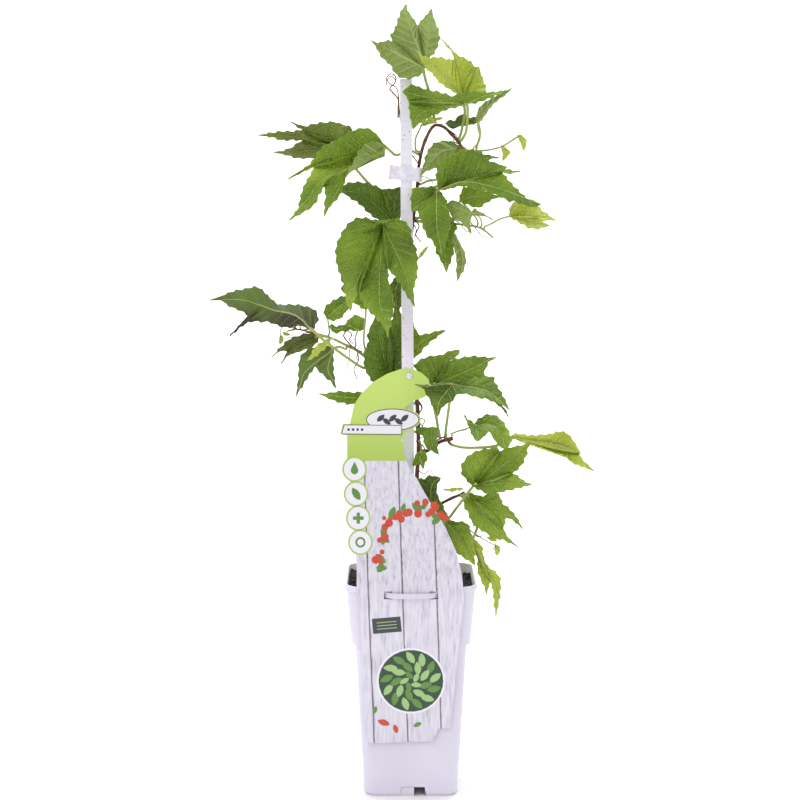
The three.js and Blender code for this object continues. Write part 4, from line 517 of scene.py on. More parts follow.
def drawn(point):
    """The real place of a point of the elevation."""
    across, up, forward = point
    rise = (up - SIGHT_UP) / DRAWING_DISTANCE
    side = (across - SIGHT_ACROSS) / DRAWING_DISTANCE
    cos, sin = math.cos(SIGHT_TILT), math.sin(SIGHT_TILT)
    away = -forward - EYE.y
    drop = away * (rise * cos - sin) / (cos + rise * sin)
    depth = away * cos - drop * sin
    return Vector((EYE.x + side * depth, -forward, EYE.z + drop))


class Curve:
    """A smooth curve through its stops, which is walked by its share of the whole length."""

    STEPS = 16

    def __init__(self, stops):
        ends = [2 * stops[0] - stops[1], *stops, 2 * stops[-1] - stops[-2]]
        self.points = [stops[0]]
        for a, b, c, d in zip(ends, ends[1:], ends[2:], ends[3:]):
            before, here, after = (max((q - p).length, 1e-6) ** 0.5 for p, q in ((a, b), (b, c), (c, d)))
            leave = ((b - a) / before - (c - a) / (before + here) + (c - b) / here) * here
            arrive = ((c - b) / here - (d - b) / (here + after) + (d - c) / after) * here
            for step in range(1, self.STEPS + 1):
                t = step / self.STEPS
                self.points.append((2 * t**3 - 3 * t**2 + 1) * b + (t**3 - 2 * t**2 + t) * leave
                                   + (3 * t**2 - 2 * t**3) * c + (t**3 - t**2) * arrive)
        self.walked = [0.0]
        for p, q in zip(self.points, self.points[1:]):
            self.walked.append(self.walked[-1] + (q - p).length)
        self.length = self.walked[-1]

    def at(self, share):
        goal = min(max(share, 0), 1) * self.length
        after = min(max(bisect_right(self.walked, goal), 1), len(self.points) - 1)
        span = self.walked[after] - self.walked[after - 1]
        part = (goal - self.walked[after - 1]) / span if span else 0
        return self.points[after - 1].lerp(self.points[after], part)

    def sampled(self, spacing, least=8):
        """Points about a spacing apart, each with its share of the way."""
        steps = max(least, round(self.length / spacing))
        return [(step / steps, self.at(step / steps)) for step in range(steps + 1)]

    def along(self, share):
        return (self.at(share + 0.005) - self.at(share - 0.005)).normalized()


def label_forward(height):
    """How far in front of the pot's axis the middle of the sheet hangs at a height."""
    height = min(max(height, LABEL_FALL[-1][1]), LABEL_FALL[0][1])
    for (high_forward, high), (low_forward, low) in zip(LABEL_FALL, LABEL_FALL[1:]):
        if height >= low:
            return high_forward + (high - height) / (high - low) * (low_forward - high_forward)


def on_label(across, up):
    """A point of the elevation, set on the label where the line of sight meets the sheet."""
    point = drawn((across, up, label_forward(up)))
    for _ in range(4):
        point = drawn((across, up, label_forward(point.z)))
    return point.x, point.z


def ellipse(middle, wide, high, steps=48):
    """A closed ellipse in the sheet's plane."""
    return [(middle[0] + wide * math.cos(2 * math.pi * step / steps),
             middle[1] + high * math.sin(2 * math.pi * step / steps)) for step in range(steps)]


def standing(outline, depth):
    """A prism on an outline in the XZ plane, from the pot's axis forward."""
    bm = extruded(outline, depth)
    bmesh.ops.rotate(bm, verts=bm.verts, matrix=Matrix.Rotation(math.radians(90), 3, "X"))
    return bm


# Laminated board: white planks weathered to a cool grey with dark seams, under a lime band and a
# lime top. The seams lean with the drawing, and the grain of about 2 mm runs down the planks.
label_card, tree, shader, place = start_material("laminated_print", Roughness=0.34, IOR=1.5,
                                                 Coat_Weight=0.25, Coat_Roughness=0.15)
parts = add_node(tree, "SeparateXYZ", {"Vector": place})
stretched = add_node(tree, "Mapping", {"Vector": place, "Scale": (1, 1, 0.07)})
grain = add_node(tree, "TexNoise", {"Vector": stretched, "Scale": 420, "Detail": 5, "Roughness": 0.6})
planks = add_node(tree, "ValToRGB", {"Fac": grain},
                  stops=[(0.3, "#b5aec1"), (0.44, "#d0ccda"), (0.62, "#dedbe6")])
lean = add_node(tree, "Math", {0: parts.outputs["Z"], 1: 0.035}, operation="MULTIPLY")
shifted = add_node(tree, "Math", {0: parts.outputs["X"], 1: lean})
wobble = add_node(tree, "Math", {0: grain, 1: 0.0016}, operation="MULTIPLY")
seam_x = add_node(tree, "Math", {0: shifted, 1: wobble})
# One plank is 31 mm wide. The distance to the nearest seam is measured in planks.
in_planks = add_node(tree, "Math", {0: seam_x, 1: 0.031}, operation="DIVIDE")
nearest = add_node(tree, "Math", {0: in_planks, 1: 0.5}, operation="PINGPONG")
seam = add_node(tree, "MapRange",
                {"Value": nearest, "From Min": 0.012, "From Max": 0.03, "To Min": 0.85, "To Max": 0})
boards = add_node(tree, "Mix", {"Factor": seam, "A": planks, "B": linear("#4b3d3a")}, data_type="RGBA")
# The lime runs from the top down to 311 mm above the pot's foot.
bands = add_node(tree, "MapRange", {"Value": parts.outputs["Z"], "From Min": 0.3, "From Max": 0.4})
lime = add_node(tree, "ValToRGB", {"Fac": bands},
                stops=[(0.11, "#adc45a"), (0.3, "#b5ce64"), (0.5, "#bed86a"), (0.85, "#c6e071")])
edge = add_node(tree, "Math", {0: parts.outputs["Z"], 1: 0.311}, operation="GREATER_THAN")
print_colour = add_node(tree, "Mix", {"Factor": edge, "A": boards, "B": lime}, data_type="RGBA")
feed(shader, Base_Color=print_colour)

sheet_curve = Curve([Vector((0, -forward, height)) for forward, height in LABEL_FALL])
sheet_front = []
sheet_back = []
for step in range(SHEET_STEPS + 1):
    middle = sheet_curve.at(step / SHEET_STEPS)
    fall = sheet_curve.along(step / SHEET_STEPS)
    across = Vector((fall.z, -fall.y)) * LABEL_THICKNESS / 2
    sheet_front.append((middle.y + across.x, middle.z + across.y))
    sheet_back.append((middle.y - across.x, middle.z - across.y))
sheet = extruded(sheet_front + sheet_back[::-1], 2 * CUT_DEPTH)
turn = Matrix(((0, 0, 1, -CUT_DEPTH), (1, 0, 0, 0), (0, 1, 0, 0), (0, 0, 0, 1)))
bmesh.ops.transform(sheet, matrix=turn, verts=sheet.verts)
label = as_object(sheet, "label_sheet", label_card)
stencil = as_object(standing([on_label(*point) for point in LABEL_OUTLINE], CUT_DEPTH), "stencil")
for middle in LABEL_DISCS:
    disc = ellipse(on_label(*middle), LABEL_DISC_RADIUS, LABEL_DISC_RADIUS)
    carve(stencil, as_object(standing(disc, CUT_DEPTH), "cutter"), "UNION")
oval = ellipse(on_label(*LABEL_OVAL), LABEL_OVAL_WIDE, LABEL_OVAL_HIGH, 64)
carve(stencil, as_object(standing(oval, CUT_DEPTH), "cutter"), "UNION")
carve(label, stencil, "INTERSECT")
for side in (-1, 1):
    left, right = sorted((side * WINDOW_INNER, side * WINDOW_OUTER))
    window = rounded_outline(left, right, WINDOW_LOW, WINDOW_HIGH, 0.6)
    carve(label, as_object(standing(window, CUT_DEPTH), "cutter"))
bore = standing(ellipse((RIVET_X, RIVET_Z), RIVET_HOLE_RADIUS, RIVET_HOLE_RADIUS, 24), 12)
carve(label, as_object(bore, "cutter"))
rounded_edges(label, 0.15)
stands_for(label, "label")

# The print on the label: small motifs that lie on its face as thin films of ink. Each film is
# cut to follow the sheet's bend, and a film that overlaps another lies one layer higher.
FILM = 0.08
FILM_STEP = 4
FILM_LIFT = 0.12
LAYER = 0.1


def ink(name, code):
    """A printed colour under the label's gloss, even all over as ink is."""
    return start_material(name, Base_Color=linear(code), Roughness=0.36, IOR=1.5, Coat_Weight=0.25,
                          Coat_Roughness=0.15)[0]


def film(bm, outline, layer):
    """Lays a film of ink on the label, its outline given in the sheet's plane."""
    flat = bmesh.new()
    flat.faces.new([flat.verts.new((x, 0, z)) for x, z in outline])
    low = min(z for _, z in outline)
    high = max(z for _, z in outline)
    for level in range(math.ceil(low / FILM_STEP), math.ceil(high / FILM_STEP)):
        bmesh.ops.bisect_plane(flat, geom=[*flat.verts, *flat.edges, *flat.faces],
                               plane_co=(0, 0, FILM_STEP * level), plane_no=(0, 0, 1))
    raised = verts_of(bmesh.ops.extrude_face_region(flat, geom=flat.faces[:]))
    bmesh.ops.translate(flat, verts=raised, vec=(0, -FILM, 0))
    for vert in flat.verts:
        below, above = (label_forward(vert.co.z + away) for away in (-FILM_STEP / 2, FILM_STEP / 2))
        face = LABEL_THICKNESS / 2 * math.sqrt(1 + ((below - above) / FILM_STEP) ** 2)
        vert.co.y -= label_forward(vert.co.z) + face + FILM_LIFT + LAYER * layer
    bmesh.ops.recalc_face_normals(flat, faces=flat.faces)
    made = bpy.data.meshes.new("film")
    flat.to_mesh(made)
    flat.free()
    bm.from_mesh(made)
    bpy.data.meshes.remove(made)


def turned_shape(shape, middle, size, turn=0):
    """A shape of unit size, turned and set in the sheet's plane."""
    cos, sin = math.cos(math.radians(turn)), math.sin(math.radians(turn))
    return [(middle[0] + size * (x * cos - z * sin), middle[1] + size * (x * sin + z * cos))
            for x, z in shape]


# The shapes of the motifs, about two units wide or high.
ROUND = [on_circle(degrees, 1) for degrees in range(0, 360, 12)]
DROP = [(0, 1.25)] + [on_circle(degrees, 0.62, (0, -0.2)) for degrees in range(390, 149, -15)]
LEAF = [(0, -1), (0.34, -0.62), (0.5, -0.1), (0.42, 0.4), (0.2, 0.78), (0, 1), (-0.2, 0.78),
        (-0.42, 0.4), (-0.5, -0.1), (-0.34, -0.62)]
PLUS = [(-0.25, -0.8), (0.25, -0.8), (0.25, -0.25), (0.8, -0.25), (0.8, 0.25), (0.25, 0.25),
        (0.25, 0.8), (-0.25, 0.8), (-0.25, 0.25), (-0.8, 0.25), (-0.8, -0.25), (-0.25, -0.25)]

oval_middle = on_label(*LABEL_OVAL)
INKS = {"white": "#e9e7f0", "lime": "#aac857", "dark": "#3c3a44", "green": "#5d8a3c",
        "pale_green": "#9cc07c", "deep_green": "#23452a", "orange": "#c8472b"}
prints = {colour: (ink(colour + "_ink", code), []) for colour, code in INKS.items()}


def stamp(colour, outline, layer):
    prints[colour][1].append((outline, layer))


stamp("dark", ellipse(oval_middle, LABEL_OVAL_WIDE - 1.6, LABEL_OVAL_HIGH - 1.2), 0)
stamp("white", ellipse(oval_middle, LABEL_OVAL_WIDE - 2.3, LABEL_OVAL_HIGH - 1.9), 1)
for colour, inset, layer in (("dark", 0.4, 2), ("white", 1, 3)):
    corners = [(-65 + inset, 337.2 + inset), (-8 - inset, 336.6 + inset), (-8 - inset, 346.4 - inset),
               (-62.8 + inset, 346.8 - inset)]
    stamp(colour, [on_label(*corner) for corner in corners], layer)
for number, middle in enumerate(LABEL_DISCS):
    spot = on_label(*middle)
    stamp("lime", turned_shape(ROUND, spot, LABEL_DISC_RADIUS - 0.5), 0)
    stamp("white", turned_shape(ROUND, spot, LABEL_DISC_RADIUS - 1.9), 1)
    shape = (DROP, LEAF, PLUS, ROUND)[number]
    stamp("green", turned_shape(shape, spot, (5.5, 6.5, 6, 4.6)[number], (0, 35, 0, 0)[number]), 2)
stamp("white", turned_shape(ROUND, on_label(*LABEL_DISCS[3]), 2.9), 3)
# A dark sprig of five leaves in the oval, and a row of seeds on the bar.
for step in range(5):
    spot = (oval_middle[0] - 11 + 5.5 * step, oval_middle[1] + (1.4, -1.6)[step % 2])
    stamp("dark", turned_shape(LEAF, spot, 4.6, (-50, -125)[step % 2]), 2 + 0.4 * (step % 2))
for step in range(4):
    stamp("dark", turned_shape(ROUND, on_label(-58 + 4.2 * step, 341.8), 1.2), 4)

# A round picture of leaves in three rings, on a dark ground with a pale rim.
MEDALLION = (0, 112)
MEDALLION_RADIUS = 31.5
MEDALLION_RIM = 2
stamp("white", turned_shape(ROUND, MEDALLION, MEDALLION_RADIUS), 0)
stamp("deep_green", turned_shape(ROUND, MEDALLION, MEDALLION_RADIUS - MEDALLION_RIM), 1)
for ring, (count, away, size) in enumerate(((13, 22.4, 6.6), (9, 13.8, 6.4), (5, 6, 5))):
    for number in range(count):
        turn = 360 / count * number + 7 * count
        spot = on_circle(turn, away, MEDALLION)
        colour = "green" if number % 2 else "pale_green"
        stamp(colour, turned_shape(LEAF, spot, size, turn - 58), 2 + ring + 0.5 * (number % 2))
# A garland of berries and leaves over it, along an arch.
BERRIES = 46
draw = random.Random(5)
for number in range(BERRIES):
    share = number / (BERRIES - 1)
    turn = math.radians(195 - 150 * share)
    spot = (6 + 36 * math.cos(turn) + draw.uniform(-4, 4),
            226 + 44 * math.sin(turn) + draw.uniform(-6, 6))
    if number % 3 == 0:
        stamp("green", turned_shape(LEAF, spot, draw.uniform(4, 6.5), draw.uniform(0, 360)),
              0.3 * (number % 2))
    else:
        stamp("orange", turned_shape(ROUND, spot, draw.uniform(1.8, 3.6)), 1 + 0.4 * (number % 4))
# Fallen leaves lie below the round picture.
for across, up, size, turn in ((-25, 72, 6, 70), (-14, 66, 4.6, 15), (6, 70, 4.2, 115),
                               (-33, 84, 4, 160)):
    colour = "orange" if size > 4.4 else "green"
    stamp(colour, turned_shape(LEAF, (across, up), size, turn), 0)
# A dark tag with three pale lines.
TAG = [(-1, -0.55), (1, -0.55), (1, 0.55), (-1, 0.55)]
LINE = [(-1, -0.04), (1, -0.04), (1, 0.04), (-1, 0.04)]
stamp("dark", turned_shape(TAG, (-22, 165), 13, 5), 0)
for drop in (3, 0, -3):
    stamp("pale_green", turned_shape(LINE, (-22 - 0.08 * drop, 165 + drop), 9, 5), 1)

for colour, (material, films) in prints.items():
    bm = bmesh.new()
    for outline, layer in films:
        film(bm, outline, layer)
    stands_for(as_object(bm, "print_" + colour, material, smooth=30), "label")

# The rivet: a small white push rivet with a domed head, through the label and the stake's web.
RIVET_SHAFT_RADIUS = 1.5
RIVET_HEAD_RADIUS = 3
RIVET_HEAD_HEIGHT = 1.6
label_face = -LABEL_TOP_FORWARD - LABEL_THICKNESS / 2 - SEAT_GAP
rivet_back = STAKE_FRONT + STAKE_WALL + SEAT_GAP
rivet_profile = [(0, label_face - RIVET_HEAD_HEIGHT), (1, label_face - 1.52), (1.9, label_face - 1.28),
                 (2.6, label_face - 0.85), (RIVET_HEAD_RADIUS, label_face - 0.3),
                 (RIVET_HEAD_RADIUS, label_face), (RIVET_SHAFT_RADIUS, label_face),
                 (RIVET_SHAFT_RADIUS, rivet_back), (RIVET_SHAFT_RADIUS + 0.5, rivet_back + 0.2),
                 (RIVET_SHAFT_RADIUS * 0.7, rivet_back + 2), (0, rivet_back + 2)]
rivet_bm = bmesh.new()
profile_verts = [rivet_bm.verts.new((radius, along, 0)) for radius, along in rivet_profile]
profile_edges = [rivet_bm.edges.new(pair) for pair in zip(profile_verts, profile_verts[1:])]
bmesh.ops.spin(rivet_bm, geom=profile_verts + profile_edges, axis=(0, 1, 0), cent=(0, 0, 0),
               steps=32, angle=2 * math.pi, use_merge=True)
bmesh.ops.remove_doubles(rivet_bm, verts=rivet_bm.verts, dist=1e-3)
bmesh.ops.recalc_face_normals(rivet_bm, faces=rivet_bm.faces)
bmesh.ops.translate(rivet_bm, verts=rivet_bm.verts, vec=(RIVET_X, 0, RIVET_Z))
rivet = as_object(rivet_bm, "push_rivet", clip_plastic, smooth=40)
stands_for(rivet, "label_rivet")

# The stem: a woody main shoot from the soil, tied to the stake, with thin side shoots, dry
# tendrils and reddish young wood. It swells a little at each node. Each row gives the shoot that
# carries it, its radius at the foot and at the tip, and its way.
STEMS = {
    "main": (None, (2.5, 1.3), [(9.5, 146, -10), (9.5, 178.5, -10), (9, 206.5, -10), (8, 234.5, -9.5),
     (6.5, 262.5, -9.5), (5.5, 295, -9.5), (7, 322.5, -9.5), (6.5, 346, -9.5), (5.5, 369, -9.5),
     (1.5, 392.5, -12.5), (-6.5, 414, -19), (-14.5, 434.5, -21), (-13, 462, -18), (-6.5, 490, -12.5),
     (-0.5, 518, -8), (2.5, 541.5, -6.5), (5.5, 564.5, -6), (7.5, 588, -5.5), (13, 610, -4),
     (22, 624.5, -2.5), (30.5, 623, -1.5), (39, 615, -1), (45.5, 607.5, -1), (50.5, 602, -1),
     (57.5, 601, -1), (70.5, 601.5, 0), (84.5, 605, 2), (93, 610, 4), (100, 614.5, 6)]),
    "right_twig": ("main", (1.5, 0.9), [(12, 535, -11), (23, 535, -14), (36.5, 533.5, -13),
     (50, 532, -9), (62.5, 530, -6), (69, 526.5, -5), (76.5, 520, -3)]),
    "left_shoot": ("main", (1.7, 0.8), [(-14, 408.5, -24), (-23, 403.5, -22), (-32.5, 402.5, -16),
     (-42, 409, -9), (-51, 415.5, -4), (-66, 423, 1), (-75.5, 427.5, 2), (-84.5, 430, 2), (-96, 433, 3),
     (-107, 435, 5), (-115.5, 433, 8)]),
    "mid_shoot": ("main", (1.8, 1.6), [(15, 322, -11), (22.5, 328, -9), (29, 331, -7.5),
     (34, 332.5, -7), (39, 333.5, -6.5)]),
    "low_shoot": ("main", (1.7, 1.3), [(13, 266, -11), (21.5, 270.5, -10), (29, 273.5, -9),
     (38, 278, -8.5), (45.5, 281, -8.5), (50, 283.5, -9)]),
    "young_shoot": ("main", (1, 0.7), [(5, 601, 0), (4, 605.5, 1), (4.5, 613, 3), (7.5, 619.5, 5),
     (10, 625, 6), (13, 629.5, 7), (15, 632.5, 8)]),
}
TENDRILS = [[(7.5, 588, -5.5), (-1.5, 601.5, -5), (-8, 619, -4.6), (-11, 640.5, -4), (-11.6, 652, -2),
             (-14, 660, 0), (-18.5, 662.5, 1), (-22, 666.5, 1), (-18.5, 670.5, 1), (-14.5, 667, 1.6)],
            [(-106, 435, 5), (-112, 439.5, 7), (-118, 437.5, 9), (-124, 441.5, 12)],
            [(-50, 415, -4), (-49, 406, -2), (-53, 398, -1), (-50, 388, 0)],
            [(2, 538, -6.5), (7.5, 531, -3.5), (4.5, 523, -2), (9.5, 516, -1.5)],
            [(6.5, 369, -9.5), (10.5, 362, -5.5), (6, 353, -4.5), (11, 344, -4.5)]]
TENDRIL_RADIUS = 0.7


def tubes(name, routes, *materials, sides=10, plain=0):
    """Round shoots along curves as one mesh. Each route is a list of (place, radius).

    The first routes, as many as plain counts or else all, take the first material.
    """
    data = bpy.data.curves.new(name, "CURVE")
    data.dimensions = "3D"
    data.bevel_depth = 0.001
    data.bevel_resolution = max(0, sides // 4 - 1)
    data.use_fill_caps = True
    for number, route in enumerate(routes):
        spline = data.splines.new("POLY")
        spline.material_index = int(0 < plain <= number)
        spline.points.add(len(route) - 1)
        for point, (spot, radius) in zip(spline.points, route):
            point.co = (*(spot / 1000), 1)
            point.radius = radius
    for material in materials:
        data.materials.append(material)
    shape = in_scene(name, data)
    graph = bpy.context.evaluated_depsgraph_get()
    mesh = bpy.data.meshes.new_from_object(shape.evaluated_get(graph))
    bpy.data.objects.remove(shape)
    bpy.data.curves.remove(data)
    bm = bmesh.new()
    bm.from_mesh(mesh)
    bpy.data.meshes.remove(mesh)
    bmesh.ops.remove_doubles(bm, verts=bm.verts, dist=1e-7)
    bmesh.ops.recalc_face_normals(bm, faces=bm.faces)
    bmesh.ops.scale(bm, vec=(1000, 1000, 1000), verts=bm.verts)
    return as_object(bm, name, *materials, smooth=50)


# Young woody bark: purple-brown with lighter lengthwise ridges of about 1 mm, greyer patches of
# about 15 mm, and pale lenticels as specks of less than 1 mm.
bark, tree, shader, place = start_material("ridged_red_brown_bark", Roughness=0.62, IOR=1.45)
fibre = add_node(tree, "Mapping", {"Vector": place, "Scale": (1, 1, 0.12)})
ridges = add_node(tree, "TexNoise", {"Vector": fibre, "Scale": 900, "Detail": 4})
patches = add_node(tree, "TexNoise", {"Vector": place, "Scale": 60, "Detail": 3})
dots = add_node(tree, "TexVoronoi", {"Vector": place, "Scale": 330})
tint = add_node(tree, "ValToRGB", {"Fac": ridges},
                stops=[(0.3, "#3b1d1e"), (0.55, "#67352f"), (0.75, "#8d5a49")])
older = add_node(tree, "MapRange",
                 {"Value": patches, "From Min": 0.45, "From Max": 0.65, "To Max": 0.6})
aged = add_node(tree, "Mix", {"Factor": older, "A": tint, "B": linear("#6d5146")}, data_type="RGBA")
dot = add_node(tree, "MapRange",
               {"Value": dots, "From Min": 0.1, "From Max": 0.2, "To Min": 0.7, "To Max": 0})
speckled = add_node(tree, "Mix", {"Factor": dot, "A": aged, "B": linear("#b08a70")}, data_type="RGBA")
ridge = add_node(tree, "Bump", {"Height": ridges, "Strength": 0.6, "Distance": 0.0005})
feed(shader, Base_Color=speckled, Normal=ridge)

# Green young growth: side shoots still soft, flushed with red over lengths of about 20 mm.
young_bark = mottled("flushed_green_shoot", 45, 3,
                     [(0.46, "#929f56"), (0.64, "#a1995a"), (0.86, "#8f5c44")],
                     Roughness=0.5, IOR=1.45, Subsurface_Weight=0.1, Subsurface_Scale=0.002)


def ease(low, high, value):
    """Zero below a low value and one above a high one, with a soft change between."""
    share = min(max((value - low) / (high - low), 0), 1)
    return share * share * (3 - 2 * share)


shoots = {}
NODE_SPACING = 34
NODE_SWELL = 0.16
KNOBS = 0.09
WOODY_SHARE = 0.9


def seat_on(name, spot):
    """The nearest point of a shoot's middle line, its direction and its radius there."""
    curve, radii = shoots[name]
    best = min((step / 600 for step in range(601)), key=lambda share: (curve.at(share) - spot).length)
    return curve.at(best), curve.along(best), radii[0] + best * (radii[1] - radii[0])


for name, (carrier, radii, route) in STEMS.items():
    stops = [drawn(point) for point in route]
    if carrier:
        stops.insert(0, seat_on(carrier, stops[0])[0])
    curve = Curve(stops)
    shoots[name] = (curve, radii)
    woody = []
    for share, spot in curve.sampled(1.5, 12):
        radius = radii[0] + share * (radii[1] - radii[0])
        nodes = max(0, math.cos(2 * math.pi * share * curve.length / NODE_SPACING)) ** 6
        woody.append((spot, radius * (1 + NODE_SWELL * nodes + KNOBS * noise.noise(spot / 5))))
    if name == "main":
        green = round(WOODY_SHARE * (len(woody) - 1))
        soft = [(spot, radius * (1 - 0.35 * ease(0, 12, i)))
                for i, (spot, radius) in enumerate(woody[green:])]
        stands_for(tubes("shoot_tip", [soft], young_bark, sides=16), "stem")
        woody = woody[: green + 1]
    finish = bark if name in ("main", "mid_shoot", "low_shoot") else young_bark
    stands_for(tubes("shoot_" + name, [woody], finish, sides=16), "stem")

# Tendrils: thin dry hooks that wind off the stem and hold where they touch, mottled every 8 mm.
dry = mottled("dry_brown_tendril", 120, 3, [(0.35, "#4f3a24"), (0.65, "#857148")], Roughness=0.75,
              IOR=1.4)
hooks = [[(spot, TENDRIL_RADIUS * (1 - 0.25 * share))
          for share, spot in Curve([drawn(point) for point in route]).sampled(1.5)]
         for route in TENDRILS]
stands_for(tubes("dry_tendrils", hooks, dry), "stem")

# Rootlets and finer tendrils: dry threads at the nodes, each a radius and its way.
THREADS = [
    (0.5, [(-92.5, 435.6, 5), (-102.3, 434.3, 6), (-110.7, 436.6, 8), (-118.1, 437.8, 9),
     (-121.4, 434.3, 9), (-120.9, 428.1, 8)]),
    (0.4, [(-102.3, 434.3, 6), (-104.2, 439, 7), (-108.8, 435.6, 8), (-110.7, 429.2, 9),
     (-113.9, 430.2, 9)]),
    (0.4, [(-91.1, 431.5, 4), (-99, 431.5, 5), (-104.2, 428.1, 6), (-110.7, 427.8, 7),
     (-117.2, 425.9, 8)]),
    (0.6, [(-45.6, 413.9, 0), (-48.7, 415.2, 1), (-55.1, 419.4, 2), (-59.5, 424.1, 3),
     (-62.6, 429.2, 5), (-59.5, 433.4, 7), (-55.1, 430.2, 8), (-57.3, 425, 7), (-53, 421.7, 6)]),
    (0.4, [(-49.3, 416.6, 1), (-49.7, 412, 2), (-50.9, 407.8, 3), (-46.5, 404.6, 3)]),
    (0.35, [(-55.8, 419.4, 2), (-57.3, 413.9, 3), (-57.3, 406.7, 4), (-59.5, 400.3, 5),
     (-56.2, 396.2, 5)]),
    (0.6, [(-11.9, 631.5, -3), (-11.9, 641.7, -2), (-11.9, 649, -1), (-16.7, 654.7, 0),
     (-19.7, 659.1, 2), (-15.3, 663.4, 3), (-14, 669.1, 4), (-18.2, 672.6, 4), (-22.6, 669.1, 3),
     (-22.6, 662, 2)]),
    (0.45, [(27.9, 625.9, -1), (35.1, 620.3, 2), (42.3, 614.4, 3), (39.4, 610.1, 4), (46.5, 605.7, 3),
     (42.3, 602.8, 2), (53.9, 604.5, 1)]),
    (0.4, [(40, 536.6, -14), (45.2, 533.8, -12), (51, 526.4, -10), (56.7, 525, -9)]),
    (0.4, [(54.9, 534.8, -10), (61, 527.9, -8), (65.4, 522.1, -6), (74, 519.2, -5)]),
    (0.5, [(1.9, 541.3, -9), (-0.9, 539.4, -5), (4.8, 527.9, -3), (3.3, 520.8, -2)]),
    (0.45, [(4.7, 577.5, -4), (10.6, 576.9, -3), (16.4, 575.4, -2), (20.7, 571, -2)]),
    (0.5, [(5.6, 369.2, -10), (10, 361.5, -5), (6, 353.4, -4), (12.7, 350.7, -3), (10, 342.6, -4),
     (16.7, 339.9, -5)]),
    (0.5, [(4.7, 331.1, -11), (11.3, 326.4, -7), (14, 321, -5), (19.5, 329.2, -4), (15.8, 335.7, -5),
     (8.4, 333.9, -6)]),
    (0.7, [(18.6, 330.2, -8), (24.8, 332, -5), (30.2, 334.5, -3), (34.3, 330.4, -2), (38.3, 326.4, -2)]),
    (0.3, [(29.8, 334.8, -4), (34.3, 337.2, -3), (43.7, 339.9, -2), (51.8, 341.3, -2)]),
    (0.45, [(52.1, 250.2, -5), (58.6, 245.5, -3), (66.7, 240.1, -2), (73.5, 236.2, -1),
     (78.8, 233.4, 0), (76.1, 229.3, 0)]),
    (0.35, [(58.6, 245.5, -3), (62.3, 241.8, -2), (67.9, 243.7, -1), (72.5, 240.9, 0)]),
    (0.4, [(6.5, 304.1, -9), (12.1, 300.4, -6), (17.7, 304.1, -4), (21.4, 298.5, -4)]),
]
threads = [[(spot, 1.4 * radius * (1 - 0.4 * share))
            for share, spot in Curve([drawn(point) for point in route]).sampled(1.2)]
           for radius, route in THREADS]
stands_for(tubes("fine_rootlets", threads, dry, sides=8), "stem")

